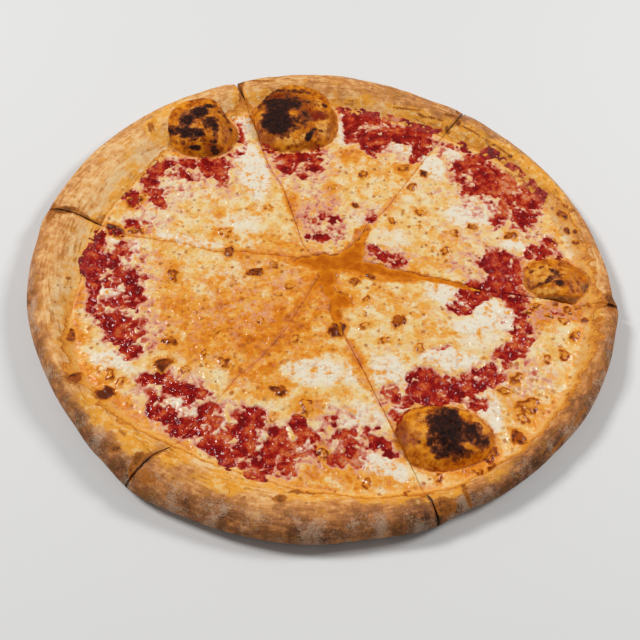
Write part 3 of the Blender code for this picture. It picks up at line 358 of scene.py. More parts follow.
# How strongly the skin of the rim is wrinkled.
WRINKLED = [
    (0, 0.5), (30, 0.2), (120, 0.2), (160, 0.4), (172, 1.0), (192, 0.9), (210, 0.3), (280, 0.3),
    (310, 0.6), (345, 0.7),
]
# Burnt places on the bubbles, by slice: x, y, half length, half width, turn, strength.
CHARS = {
    1: ((121, 0, 4.5, 1.6, 40, 0.9), (115, -4, 4.5, 1.3, 30, 0.8), (126, -2, 2.6, 1.6, 0, 0.9),
        (124, 5, 2, 3, 60, 0.7), (110, 7, 1.4, 1.4, 0, 0.8), (112, 5, 1.2, 2, 0, 0.7),
        (118, 8, 1.4, 2, 0, 0.6), (131, -4, 1.6, 1.2, 0, 0.8)),
    2: ((-27, 127, 13, 5.5, 8, 1.5), (-29, 112, 9, 12, 12, 1.7), (-22, 139, 10, 2, 0, 0.8),
        (-37, 134, 5, 1.8, 25, 0.8), (-10, 100, 2.4, 5, -15, 1.2), (-6, 105, 3.5, 1.4, -10, 1.0),
        (-2, 127, 1.6, 2, 0, 1.0), (-14, 116, 4, 7, 0, 0.8), (-19, 132, 8, 2, -30, 0.8)),
    3: ((-77, 116, 6, 5, 30, 1.5), (-84, 109, 4, 6, -35, 1.2), (-81, 98, 9, 4.4, -5, 1.5),
        (-92, 99, 2.4, 5, 0, 1.0), (-70, 107, 4.5, 5, 0, 1.1), (-66, 103, 2, 6, 10, 1.0),
        (-66, 92, 2.2, 2, 0, 1.1), (-76, 85, 3.4, 2, 0, 1.1), (-64, 84, 2, 5, 10, 1.1),
        (-73, 122, 5, 1.8, 0, 1.0), (-75, 92, 5, 1.4, 10, 0.8), (-60, 112, 0.9, 6, 28, 0.8),
        (-58, 105, 0.9, 6, 16, 0.8), (-83, 90, 2, 2, 0, 0.8), (-64, 116, 1, 4, 35, 0.7)),
    6: ((63, -92, 8, 10, 0, 1.7), (74, -93, 4.5, 5, 0, 1.3), (78, -98, 3, 5, 0, 1.0),
        (65, -104, 8, 4, 0, 1.2), (57, -101, 3, 5, 0, 0.9), (50, -100, 1, 1, 0, 0.8)),
}
# Dark red hollows and pale swollen places of the bubbles.
BUBBLE_RED = (
    (132, 2, 6, 10, 0, 0.4), (-28, 131, 17, 8, 0, 0.9), (-12, 107, 7, 10, 0, 0.5),
    (-38, 104, 5, 12, 0, 0.4), (-8, 118, 10, 5, 0, 1.0), (3, 112, 2.4, 18, -6, 0.6),
    (-36, 93, 6, 9, -45, 0.7), (-66, 85, 5, 10, 10, 0.8), (-57, 99, 4, 16, 12, 0.5),
    (41, -98, 5, 12, 0, 0.8), (136, 4, 4, 10, 0, 0.5), (126, -12, 14, 2, 0, 0.7),
    (-9, 91, 8, 2.4, 0, 0.6), (133, 12, 4, 4, 0, 0.6), (-90, 91, 6, 2, -40, 0.5),
    (47, -110, 6, 5, -50, 0.4), (-14, 122, 5, 9, 20, 0.8), (-9, 128, 3, 5, 0, 0.6),
    (-40, 101, 2, 8, 15, 0.7),
)
BUBBLE_PALE = (
    (-22, 95, 9, 4.5, 0, 0.9), (-2, 107, 4.5, 9, 0, 0.9), (-84, 87, 9, 5, 0, 0.4),
    (118, 3, 8, 7, 0, 0.8), (66, -79, 14, 2.2, -6, 0.8), (-39, 112, 2.6, 2.6, 0, 0.8),
    (118, -8, 8, 2.4, 8, 1.0), (51, -92, 5, 8, 0, 0.45), (127, 4, 3, 7, -20, 0.6),
    (-6, 128, 3, 5, 20, 0.8), (-17, 127, 2, 3, 0, 0.8), (-22, 134, 7, 1.4, 20, 0.7),
    (-87, 95, 4, 6, 0, 0.5), (-72, 118, 2, 3, 0, 0.6), (-14, 97, 2, 6, -30, 0.7),
    (55, -112, 8, 4, -20, 0.5), (78, -86, 3, 8, 30, 0.5), (-74, 108, 2.6, 2, 0, 0.6),
    (-80, 104, 2.4, 1.6, 0, 0.6), (-76, 103, 2.4, 1.6, 0, 0.6),
)
# The pool of oil and its arms, at their true places.
FLOODED = (
    (4, 4, 11, 5.5, 0, 1.5), (-6, 5.2, 7, 2.6, 4, 1.3), (16, 8, 8, 5.5, 45, 1.5),
    (20, 15, 3.2, 6, -18, 1.2), (23, 23, 1.6, 6, -25, 0.9), (24, 2, 12, 3.4, -3, 1.4),
    (42, -1.0, 13, 2.5, -7, 1.2), (60, -3.9, 13, 1.7, -10, 1.1), (74, -7, 9, 1.2, -14, 1.0),
    (4, -5, 4.4, 8, 5, 1.4), (5.5, -14, 2.8, 6, 10, 1.2), (12, -20.5, 5, 4.4, 0, 1.4),
    (9.5, -28, 2.2, 7, 6, 1.1), (12, -38, 1.5, 5, 15, 0.9), (-1, -10, 1.4, 5, -20, 0.9),
)
# Oily, orange red places of the sauce.
PULPY = (
    (110, 67, 13, 12, 0, 1.0), (100, 50, 5, 12, 0, 0.8), (36, 112, 12, 7, 0, 0.5),
    (14, 86, 8, 6, 0, 1.0), (-8, -110, 8, 7, 0, 0.9), (18, -106, 8, 12, 0, 0.8),
    (-96, 60, 6, 10, 0, 0.5), (37, -78, 9, 8, 0, 0.6), (98, -46, 10, 6, 0, 0.5),
    (-20, 78, 14, 6, 0, 0.4), (-40, -100, 6, 6, 0, 0.6), (-118, -26, 4, 14, 0, 0.6),
    (108, 2, 5, 14, 0, 0.7), (120, 12, 10, 5, 0, 0.4), (84, 86, 12, 6, 0, 0.4),
    (-94, -48, 4, 10, 0, 0.4), (-46, -98, 4, 8, 0, 0.6),
)


# ---------------------------------------------------------------- unevenness
def hashed(across, along, seed):
    """Random-looking values from 0 to 1 for whole numbers."""
    first, second, third, fourth = HASH_FACTORS
    limit = np.uint64(HASH_LIMIT)
    mix = across.astype(np.uint64) * np.uint64(first) + along.astype(np.uint64) * np.uint64(second)
    mix = (mix + np.uint64(seed * third)) & limit
    for shift, factor in ((15, third), (13, fourth)):
        mix = ((mix ^ (mix >> np.uint64(shift))) * np.uint64(factor)) & limit
    return (mix ^ (mix >> np.uint64(16))) / (HASH_LIMIT + 1.0)


def cells_of(x, y, size):
    """Places counted in cells of a grid, and the whole numbers of those cells."""
    u = x / size + GRID_SHIFT
    v = y / size + GRID_SHIFT
    return u, v, np.floor(u), np.floor(v)


def soft_step(part):
    """Smooth step from 0 to 1, level at both ends."""
    return part ** 3 * (part * (part * 6 - 15) + 10)


def swell(x, y, size, seed):
    """Smooth unevenness between about -1 and 1, with swells about as wide as size."""
    u, v, whole_u, whole_v = cells_of(x, y, size)
    part_u = u - whole_u
    part_v = v - whole_v
    ease_u = soft_step(part_u)
    ease_v = soft_step(part_v)
    total = 0.0
    for step_u in (0, 1):
        for step_v in (0, 1):
            turn = 2 * math.pi * hashed(whole_u + step_u, whole_v + step_v, seed)
            slope = np.cos(turn) * (part_u - step_u) + np.sin(turn) * (part_v - step_v)
            share_u = ease_u if step_u else 1 - ease_u
            share_v = ease_v if step_v else 1 - ease_v
            total = total + slope * share_u * share_v
    return 1.5 * total


def rough(x, y, size, seed, levels=3):
    """Swells of falling size on top of each other."""
    total = 0.0
    for level in range(levels):
        total = total + swell(x, y, size / 2.1 ** level, seed + level) * 0.55 ** level
    return total


def scattered(x, y, size, seed):
    """Distance to the nearest of some scattered centres in cell sizes, and its own value."""
    u, v, whole_u, whole_v = cells_of(x, y, size)
    best = np.full(x.shape, 9.0)
    value = np.zeros(x.shape)
    for step_u in (-1, 0, 1):
        for step_v in (-1, 0, 1):
            cell_u = whole_u + step_u
            cell_v = whole_v + step_v
            away = np.hypot(cell_u + hashed(cell_u, cell_v, seed) - u,
                            cell_v + hashed(cell_u, cell_v, seed + 1) - v)
            nearer = away < best
            best = np.where(nearer, away, best)
            value = np.where(nearer, hashed(cell_u, cell_v, seed + 2), value)
    return best, value


def lumps(x, y, size):
    """The soft unevenness that the solids have."""
    return np.array([noise.noise((a, b, 3.7)) for a, b in zip(x / size, y / size)])


def streaks(x, y, along, across):
    """Unevenness drawn out round the rim: long along it, narrow across it."""
    radius = np.hypot(x, y)
    places = zip(x / along, y / along, radius / across)
    return np.array([noise.noise(place) for place in places])


def eased(value, low, high):
    """0 below low, 1 above high, smooth between."""
    share = np.clip((value - low) / (high - low), 0.0, 1.0)
    return share * share * (3 - 2 * share)


def around(knots, azimuth):
    """Value at each azimuth, eased between the knots of a closed ring."""
    angles = np.array([knot[0] for knot in knots] + [knots[0][0] + 360.0], float)
    values = np.array([knot[1] for knot in knots] + [knots[0][1]], float)
    turned = np.asarray(azimuth) % 360.0
    low = np.clip(np.searchsorted(angles, turned, side="right") - 1, 0, len(knots) - 1)
    share = (turned - angles[low]) / (angles[low + 1] - angles[low])
    return values[low] + (values[low + 1] - values[low]) * share * share * (3 - 2 * share)


def azimuth_of(x, y):
    return np.degrees(np.arctan2(y, x)) % 360.0


def seen(x, y, z):
    """Where points show on the level plane of the places, from the viewing side."""
    lift = (z - WIDEST_LEVEL) / (EYE[2] - z)
    return x + (x - EYE[0]) * lift, y + (y - EYE[1]) * lift


def warped(x, y, amount, seed):
    """Places shifted unevenly, so that what is drawn with them is ragged."""
    return (x + amount * (2.0 * swell(x, y, 10.0, seed) + swell(x, y, 3.4, seed + 1)),
            y + amount * (2.0 * swell(x, y, 10.0, seed + 2) + swell(x, y, 3.4, seed + 3)))


def patches(x, y, places):
    """Greatest strength of some soft patches at each point."""
    best = np.zeros(x.shape)
    for centre_x, centre_y, length, width, turn, strength in places:
        cosine = math.cos(math.radians(turn))
        sine = math.sin(math.radians(turn))
        along = ((x - centre_x) * cosine + (y - centre_y) * sine) / length
        across = ((y - centre_y) * cosine - (x - centre_x) * sine) / width
        best = np.maximum(best, strength * (1 - eased(np.hypot(along, across), 0.5, 1.5)))
    return best


# ---------------------------------------------------------------- cuts
def smooth_path(knots, step=1.0):
    """Catmull-Rom curve through the knots, as an array of closely spaced points."""
    points = [np.array(knot, float) for knot in knots]
    points = [2 * points[0] - points[1]] + points + [2 * points[-1] - points[-2]]
    path = []
    for before, start, end, after in zip(points, points[1:], points[2:], points[3:]):
        count = max(2, int(np.linalg.norm(end - start) / step))
        for share in np.arange(count) / count:
            path.append(0.5 * (2 * start + (end - before) * share
                               + (2 * before - 5 * start + 4 * end - after) * share ** 2
                               + (3 * start - before - 3 * end + after) * share ** 3))
    path.append(points[-2])
    return np.array(path)


def run_along(points):
    """Distance along a line of points, from 0."""
    steps = np.linalg.norm(np.diff(points, axis=0), axis=1)
    return np.concatenate([[0.0], np.cumsum(steps)])


def left_of(path):
    """Directions to the left of a path, at each of its points."""
    along = np.gradient(path, axis=0)
    along /= np.linalg.norm(along, axis=1)[:, None]
    return np.stack([-along[:, 1], along[:, 0]], axis=1)


def polar(radius, angle):
    """Points at some radii and angles, as rows of x and y."""
    return np.stack([radius * np.cos(angle), radius * np.sin(angle)], axis=1)


class Edge:
    """One edge of a slice: a stroke moved sideways by half its gap."""

    def __init__(self, number, kind, turn):
        knots, dough, topping, torn = STROKES[number]
        gap = dough if kind == "dough" else topping
        path = smooth_path([HUB] + knots)
        self.distance = run_along(path)
        width = np.interp(self.distance, [pair[0] for pair in gap], [pair[1] for pair in gap])
        if kind == "dough":
            tears = np.abs(rough(self.distance, 0 * width, 5.0, 70 + 9 * number + turn, 3))
            width = width + torn * eased(self.distance, 114.0, 126.0) * tears
        self.turn = turn
        self.points = path + turn * width[:, None] * left_of(path)
        self.radius = np.hypot(self.points[:, 0], self.points[:, 1])
        offset = self.points - np.array(HUB)
        reach = np.hypot(offset[:, 0], offset[:, 1])
        rising = np.concatenate([[True], reach[1:] > np.maximum.accumulate(reach)[:-1] + 1e-6])
        self.reach = reach[rising]
        self.angle = np.unwrap(np.arctan2(offset[:, 1], offset[:, 0])[rising])

    def at(self, distance):
        x = np.interp(distance, self.distance, self.points[:, 0])
        y = np.interp(distance, self.distance, self.points[:, 1])
        return np.stack([x, y], axis=-1)

    def crossing(self, radius_at):
        """Distance along the edge where it meets the closed line radius_at(azimuth)."""
        distance = 130.0
        for _ in range(12):
            wanted = float(radius_at(azimuth_of(*self.at(distance))))
            outer = self.distance > 20.0
            distance = float(np.interp(wanted, self.radius[outer], self.distance[outer]))
        return distance

    def away(self, x, y):
        """How far points lie from the edge, positive on the slice's side of it."""
        reach = np.hypot(x - HUB[0], y - HUB[1])
        angle = np.arctan2(y - HUB[1], x - HUB[0])
        turned = angle - np.interp(reach, self.reach, self.angle)
        turned = (turned + math.pi) % (2 * math.pi) - math.pi
        return self.turn * reach * turned


def slice_edges(number, kind):
    """The right and left edges of a slice, as seen from the hub."""
    return Edge(number - 1, kind, 1), Edge(number % len(STROKES), kind, -1)


def tip_point(right, left, reach):
    """Point on the middle line of a slice, at a distance from the hub."""
    aim = right.at(12.0) + left.at(12.0) - 2 * np.array(HUB)
    return np.array(HUB) + reach * aim / np.linalg.norm(aim)


def arc_points(right, left, radius_at, spacing):
    """Points of the line radius_at(azimuth) from the right edge of a slice to the left."""
    ends = [edge.at(edge.crossing(radius_at)) for edge in (right, left)]
    start = float(azimuth_of(*ends[0]))
    span = (float(azimuth_of(*ends[1])) - start) % 360.0
    count = max(4, int(math.radians(span) * float(radius_at(start)) / spacing))
    azimuth = start + span * np.arange(1, count) / count
    inner = polar(radius_at(azimuth), np.radians(azimuth))
    return np.vstack([ends[0], inner, ends[1]])


# ---------------------------------------------------------------- levels
def blob_radius(blob, angle):
    """Radius of a bubble's outline in a direction."""
    _, _, half_x, half_y, turn, seed = blob
    local = angle - math.radians(turn)
    ellipse = 1.0 / np.hypot(np.cos(local) / half_x, np.sin(local) / half_y)
    lobes = sum(np.sin(count * angle + seed * 1.7 * count) / count for count in (2, 3, 5))
    return ellipse * (1.0 + BLOB_LOBES * lobes)


def blob_inside(blob, x, y):
    """How far points lie inside a bubble's outline."""
    angle = np.arctan2(y - blob[1], x - blob[0])
    return blob_radius(blob, angle) - np.hypot(x - blob[0], y - blob[1])


def well(azimuth):
    return around(WELL_RADIUS, azimuth)


def widest(azimuth):
    return around(WIDEST_RADIUS, azimuth) - WIDEST_INSET


def rim_share(x, y):
    """Place across the rim: 0 at its inner edge, 1 at the crest, 2 at the widest line."""
    azimuth = azimuth_of(x, y)
    radius = np.hypot(x, y)
    inner = well(azimuth) + WELL_WALL
    outer = widest(azimuth)
    crest = inner + CREST_PLACE * (outer - inner)
    return np.where(radius < crest, (radius - inner) / (crest - inner),
                    1 + (radius - crest) / (outer - crest))


def slope_up(share):
    """Rise of the rim's profile from 0 at its inner edge to 1 at the crest."""
    return np.sin(0.5 * math.pi * np.minimum(share, 1.0)) ** 1.3


def slope_down(share):
    """Fall of the rim's profile from 1 at the crest to 0 at the widest line."""
    return np.sqrt(1.0 - np.clip(share - 1.0, 0.0, 1.0) ** 2.2)


def dome(share):
    """Rise of a bubble's profile from 0 at its outline to 1 in the middle."""
    return (1.0 - share ** 2.4) ** 0.75


def rim_level(x, y):
    """Level of the rim's dough, the inner edge's level inside it."""
    share = np.clip(rim_share(x, y), 0.0, 2.0)
    azimuth = azimuth_of(x, y)
    top = around(CREST_HEIGHT, azimuth) + 1.6 * lumps(x, y, 26.0)
    level = np.where(share <= 1.0, LEDGE + (top - LEDGE) * slope_up(share),
                     WIDEST_LEVEL + (top - WIDEST_LEVEL) * slope_down(share))
    skin = 0.36 * rough(x, y, 9.0, 301, 4)
    folds = 0.4 - 0.8 * streaks(x, y, 9.0, 2.4)
    ridged = (0.15 + around(WRINKLED, azimuth)) * 0.5 * folds
    steady = eased(2.0 - share, 0.0, 0.25)
    return level + (skin - 0.1 - ridged) * steady * eased(share, 0.0, 0.3)


def bubble_level(bubble, x, y):
    """Level of a bubble's skin, far below everything outside it."""
    number, blob, apex = bubble
    depth = blob_inside(blob, x, y)
    angle = np.arctan2(y - blob[1], x - blob[0])
    share = 1.0 - np.clip(depth, 0.0, None) / blob_radius(blob, angle)
    level = LEDGE + (apex - LEDGE) * dome(share)
    level = level + 0.9 * lumps(x, y, 9.0) * (1.0 - share)
    show_x, show_y = seen(x, y, level)
    inward = np.sqrt(1.0 - share)
    skin = 1.3 * rough(x, y, 8.5, 330 + number, 4) * inward - 0.7 * inward
    skin = skin - 0.5 * (1 - eased(np.abs(swell(x, y, 5.0, 341)), 0.0, 0.25)) * inward
    dents = patches(show_x, show_y, BUBBLE_RED) * 1.6 - patches(show_x, show_y, BUBBLE_PALE) * 0.7
    flakes, own = scattered(x, y, 2.4, 350)
    burnt = charred(number, show_x, show_y)
    level = level + skin - dents * inward + burnt * (0.7 * own - 1.4 * np.abs(flakes - 0.4))
    return np.where(depth < 0.0, BELOW_ALL, np.minimum(level, BUBBLE_LIMIT))


def charred(number, show_x, show_y):
    """How burnt the skin of a bubble is where it shows, from 0 to 1."""
    warp_x, warp_y = warped(show_x, show_y, 0.6, 361)
    burnt = patches(warp_x, warp_y, CHARS[number])
    uneven = 0.5 * rough(show_x, show_y, 4.0, 365 + number, 3)
    return np.clip(0.8 * burnt + uneven * (burnt > 0.01) - 0.1, 0.0, 1.0)


def dough_level(number, x, y):
    """Visible level of the dough of a slice, rim and bubbles, and the well's floor."""
    radius = np.hypot(x, y)
    rim = np.where(radius <= well(azimuth_of(x, y)) + 0.5 * WELL_WALL, FLOOR, rim_level(x, y))
    for bubble in BUBBLES:
        if bubble[0] == number:
            rim = np.maximum(rim, bubble_level(bubble, x, y))
    return rim


def bed_level(number, x, y):
    """Level that the toppings lie on: flat in the well, then up the rim and the bubbles."""
    bed = np.where(rim_share(x, y) > 0.0, rim_level(x, y), BARE_LEVEL)
    bed = np.maximum(bed, BARE_LEVEL)
    for bubble in BUBBLES:
        if bubble[0] == number:
            bed = np.maximum(bed, bubble_level(bubble, x, y))
    return bed


def pressed(x, y, edges):
    """How far each point is from the nearer cut of its slice."""
    return np.minimum(edges[0].away(x, y), edges[1].away(x, y))


def pinched(level, distance):
    """Level of the rim near a cut, where the knife pressed it down."""
    press = PINCH_DEPTH * np.exp(-(distance / PINCH_WIDTH) ** 2)
    return np.where(level > LEDGE, LEDGE + (level - LEDGE) * (1 - press), level)


# ---------------------------------------------------------------- toppings
def outside_rim(x, y):
    """Distance beyond the inner edge of the rim."""
    return np.hypot(x, y) - well(azimuth_of(x, y))


def bubble_depth(number, x, y):
    """How far points lie inside the bubbles of a slice, negative outside them."""
    depths = [blob_inside(blob, x, y) for of_slice, blob, _ in BUBBLES if of_slice == number]
    return np.maximum.reduce(depths) if depths else np.full(x.shape, FAR_OUTSIDE)


def flooded(x, y):
    """How far the oil covers what lies under it, about 0 to 1.5."""
    warp_x, warp_y = warped(x, y, 0.45, 451)
    spill = patches(warp_x, warp_y, FLOODED)
    return spill + 0.35 * (spill > 0.0) * (swell(x, y, 4.0, 455) + 0.6 * swell(x, y, 1.9, 456))


def cheese_fields(number, x, y, edges):
    """Thickness of the cheese and its colour masks at each point of a slice."""
    beyond = outside_rim(x, y)
    depth = bubble_depth(number, x, y)
    bed = bed_level(number, x, y)
    show_x, show_y = seen(x, y, np.maximum(bed, WIDEST_LEVEL))
    warp_x, warp_y = warped(show_x, show_y, 1.0, 101)
    bare = patches(warp_x, warp_y, BARE_SAUCE)
    sheer = patches(warp_x, warp_y, SHEER_CHEESE)
    white = patches(warp_x, warp_y, FRESH_WHITE)
    ragged = np.clip(1.2 * sheer + 0.6 * eased(bare, 0.1, 0.9), 0.0, 1.0)
    broad = 0.6 * swell(x, y, 7.5, 11)
    small = 0.75 * swell(x, y, 3.4, 13) + 0.45 * swell(x, y, 1.8, 14)
    strand = 1 - eased(np.abs(swell(x, y, 6.0, 17) + 0.3 * swell(x, y, 2.5, 18)), 0.0, 0.3)
    strand = strand * eased(swell(x, y, 10.0, 19), -0.25, 0.3) * eased(bare, 0.3, 1.0)
    thick = 1.2 + broad * (0.35 + 0.6 * ragged) + small * (0.15 + 1.1 * ragged)
    thick = thick - 0.81 * np.minimum(bare, 2.2) - 1.15 * sheer + 0.8 * strand + 0.3 * white
    reach = around(FILM_REACH, azimuth_of(x, y)) * (1 + 0.45 * rough(x, y, 9.0, 21, 2))
    film = 1.0 - beyond / np.maximum(reach, 0.4)
    film = np.maximum(film, -1.0) + 0.3 * (broad + 0.5 * small)
    thick = np.where(beyond > -2.0, np.minimum(thick, film), thick)
    climb = 0.5 - (depth + 1.0) / 2.2 + 0.5 * (broad + 0.5 * small)
    thick = np.where(depth > -1.0, np.minimum(thick, climb), thick)
    over = np.maximum(eased(beyond, -2.0, 1.5), eased(depth, -3.0, 0.5))
    cut = pressed(x, y, edges)
    from_hub = np.hypot(x - HUB[0], y - HUB[1])
    flood = flooded(x, y)
    orange = patches(warp_x, warp_y, OILY_ORANGE) + 0.22 * rough(x, y, 12.0, 41, 2)
    orange = orange + 0.8 * np.exp(-np.maximum(cut, 0.0) / 1.6) * eased(130.0 - from_hub, 0.0, 40.0)
    orange = orange + 0.35 * eased(beyond, -5.0, 1.0) + 0.5 * eased(depth, -6.0, -0.5)
    orange = orange + 1.1 * eased(flood, 0.0, 0.4)
    white = np.clip(white + 0.2 * swell(x, y, 5.0, 45), 0, 1)
    brown, raised = blister_fields(show_x, show_y)
    return {"thick": thick, "white": white, "orange": np.clip(orange * (1 - 0.6 * white), 0, 1.3),
            "brown": brown, "over": over, "raised": raised, "cut": cut, "beyond": beyond,
            "bed": bed, "flood": flood, "edge": np.exp(-np.maximum(cut, 0.0) / 1.2)}


def blister_fields(x, y):
    """Browning and height of the blisters in the cheese."""
    brown = np.zeros(x.shape)
    raised = np.zeros(x.shape)
    for index, (centre_x, centre_y, radius, depth) in enumerate(BLISTERS):
        near = np.hypot(x - centre_x, y - centre_y) < 2.6 * radius
        if not near.any():
            continue
        near_x = x[near]
        near_y = y[near]
        off_x = near_x - centre_x + 0.35 * radius * swell(near_x, near_y, 0.9 * radius, 61)
        off_y = near_y - centre_y + 0.35 * radius * swell(near_x, near_y, 0.9 * radius, 62)
        turn = 2.4 * index
        along = (off_x * math.cos(turn) + off_y * math.sin(turn)) * 0.82
        across = (off_y * math.cos(turn) - off_x * math.sin(turn)) * 1.2
        share = np.hypot(along, across) / radius
        ring = np.exp(-((share - 0.62) / 0.22) ** 2) * (0.75 + 0.9 * swell(near_x, near_y, 2.4, 63))
        core = (depth - 0.75) * (1 - eased(share, 0.15, 0.7))
        halo = 1 - eased(share, 0.7, 1.7)
        brown[near] = np.maximum(brown[near], depth * (0.72 * ring + 0.8 * core + 0.34 * halo))
        raised[near] = np.maximum(raised[near], 0.7 * (1 - eased(share, 0.3, 1.1)))
    return brown, raised


def cheese_level(x, y, fields):
    """Top of the cheese: its thickness over the bed, with soft relief."""
    thick = fields["thick"]
    level = fields["bed"] + 0.62 * np.minimum(thick, 1.3) + 0.05 - 0.4 * eased(-thick, 0.0, 0.3)
    full = eased(thick, 0.2, 1.2) * eased(-fields["beyond"], -4.0, 2.0)
    relief = 0.30 * rough(x, y, 10.0, 71, 2) + 0.28 * swell(x, y, 3.4, 73)
    relief = relief + 0.12 * swell(x, y, 1.5, 74)
    pits, own = scattered(x, y, 2.6, 76)
    relief = relief - 0.3 * (own > 0.6) * (1 - eased(pits, 0.12, 0.4))
    level = level + relief * full + 0.06 * swell(x, y, 1.6, 78)
    level = level + fields["raised"] * eased(thick, -0.2, 0.4)
    level = level + 0.25 * fields["white"] * full
    level = level - 0.45 * np.exp(-(np.maximum(fields["cut"], 0.0) / 0.6) ** 2)
    sunk = eased(fields["flood"], 0.3, 0.75)
    return level + sunk * (np.minimum(level, CHEESE_UNDERSIDE + 0.3) - level)


def sauce_fields(number, x, y, edges):
    """How far sauce reaches, its pulp and where oil has browned it."""
    bed = bed_level(number, x, y)
    show_x, show_y = seen(x, y, np.maximum(bed, WIDEST_LEVEL))
    warp_x, warp_y = warped(show_x, show_y, 1.0, 101)
    bare = patches(warp_x, warp_y, BARE_SAUCE)
    open_here = eased(bare, 0.2, 0.8)
    beyond = outside_rim(x, y)
    reach = (around(SAUCE_REACH, azimuth_of(x, y)) + 1.5) * open_here - 1.5
    reach = reach + 0.8 * rough(x, y, 6.0, 81, 2)
    cover = 1.0 - 1.6 * eased(beyond - reach, -0.8, 0.8)
    climb = 1.9 * open_here - 1.3 + 0.8 * swell(x, y, 4.0, 83)
    cover = np.minimum(cover, 1.0 - 1.6 * eased(bubble_depth(number, x, y) - climb, -0.7, 0.7))
    shift_x = 1.2 * swell(x, y, 3.0, 84)
    shift_y = 1.2 * swell(x, y, 3.0, 85)
    chunks, own = scattered(x + shift_x, y + shift_y, 4.0, 86)
    pulp = 0.34 + 0.36 * rough(x, y, 5.0, 88, 3) + 0.28 * swell(x, y, 9.0, 93)
    pulp = pulp + 0.3 * (own - 0.5) + 0.25 * (0.5 - chunks)
    pulp = pulp + 0.4 * patches(warp_x, warp_y, PULPY) * (0.8 + 0.6 * swell(x, y, 3.2, 89))
    return {"cover": cover, "pulp": np.clip(pulp, 0, 1.2), "chunks": chunks, "bare": bare,
            "bed": bed, "cut": pressed(x, y, edges), "flood": flooded(x, y),
            "over": eased(beyond, -3.0, 1.0)}


def sauce_level(x, y, fields):
    """Top of the sauce: pulpy where it is bare, sunk where oil floods it."""
    bare = eased(fields["bare"], 0.3, 1.6)
    relief = 0.38 * rough(x, y, 4.6, 91, 3) + 0.65 * (0.5 - fields["chunks"]) * bare
    relief = relief + 0.14 * swell(x, y, 1.2, 95)
    relief = relief * (0.35 + 0.65 * bare) * eased(fields["cover"], -0.2, 0.8)
    level = fields["bed"] + 0.12 * fields["cover"] + relief
    level = level - 0.4 * np.exp(-(np.maximum(fields["cut"], 0.0) / 0.5) ** 2)
    sunk = eased(fields["flood"], 0.2, 0.6)
    return level + sunk * (np.minimum(level, SAUCE_UNDERSIDE + 0.4) - level)


# ---------------------------------------------------------------- meshes
def delaunay(points, chains, kind, merging):
    vectors = [Vector(point) for point in points.tolist()]
    return geometry.delaunay_2d_cdt(vectors, chains, [], kind, merging)


def net(points, chains):
    """Delaunay net that keeps the chains as edges: corners, triangles, their sources."""
    result = delaunay(points, chains, 0, 1e-4)
    corners = np.array([corner[:] for corner in result[0]])
    return corners, np.array(result[2]), result[3]


def ring_edges(start, count):
    return [(start + i, start + (i + 1) % count) for i in range(count)]


def open_edges(faces):
    """Directed edges that only one triangle has."""
    pairs = np.vstack([faces[:, (0, 1)], faces[:, (1, 2)], faces[:, (2, 0)]])
    size = int(faces.max()) + 1
    there = pairs[:, 0] * size + pairs[:, 1]
    back = pairs[:, 1] * size + pairs[:, 0]
    return pairs[~np.isin(there, back)]


def enclosed(points, outline):
    """Which points lie inside a closed outline."""
    x, y = points.T
    inside = np.zeros(len(points), dtype=bool)
    for start, end in zip(outline, np.roll(outline, -1, axis=0)):
        beside = (start[1] > y) != (end[1] > y)
        crossing = start[0] + (y - start[1]) / ((end[1] - start[1]) or 1.0) * (end[0] - start[0])
        inside ^= beside & (x < crossing)
    return inside


def without_pinches(faces):
    """The net without corners where its outline touches itself, and its outline."""
    while True:
        rim = open_edges(faces)
        values, counts = np.unique(rim[:, 0], return_counts=True)
        bad = values[counts > 1]
        if not len(bad):
            return faces, rim
        faces = faces[~np.isin(faces, bad).any(axis=1)]


def filled(corners, rim):
    """Triangles between some outlines, which have the region on their left."""
    order, local = np.unique(rim, return_inverse=True)
    local = local.reshape(rim.shape).tolist()
    result = delaunay(corners[order], local, 0, 1e-7)
    sources = [source[0] for source in result[3]]
    faces = [tuple(sources[corner] for corner in face) for face in result[2]]
    ahead = {tuple(pair) for pair in local}
    owner = {}
    for number, face in enumerate(faces):
        for pair in zip(face, face[1:] + face[:1]):
            owner[pair] = number
    done = [False] * len(faces)
    kept = []
    for first in range(len(faces)):
        if done[first]:
            continue
        done[first] = True
        waiting = [first]
        patch = []
        inside = False
        while waiting:
            face = faces[waiting.pop()]
            patch.append(face)
            for start, end in zip(face, face[1:] + face[:1]):
                if (start, end) in ahead:
                    inside = True
                elif (end, start) not in ahead:
                    other = owner.get((end, start))
                    if other is not None and not done[other]:
                        done[other] = True
                        waiting.append(other)
        if inside:
            kept += patch
    return order[np.array(kept)]


def add_piece(name, vertices, faces, masks, material, replaced):
    """Mesh object in metres with its masks, riding on the pizza."""
    mesh = bpy.data.meshes.new(name)
    mesh.from_pydata((vertices * MM).tolist(), [], faces.tolist())
    mesh.shade_smooth()
    mesh.set_sharp_from_angle(angle=SHARP_ANGLE)
    for mask, values in masks.items():
        layer = mesh.attributes.new(mask, "FLOAT", "POINT")
        layer.data.foreach_set("value", np.ascontiguousarray(values, np.float32))
    mesh.materials.append(material)
    piece = bpy.data.objects.new(name, mesh)
    bpy.context.scene.collection.objects.link(piece)
    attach(piece, "root")
    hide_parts(replaced)


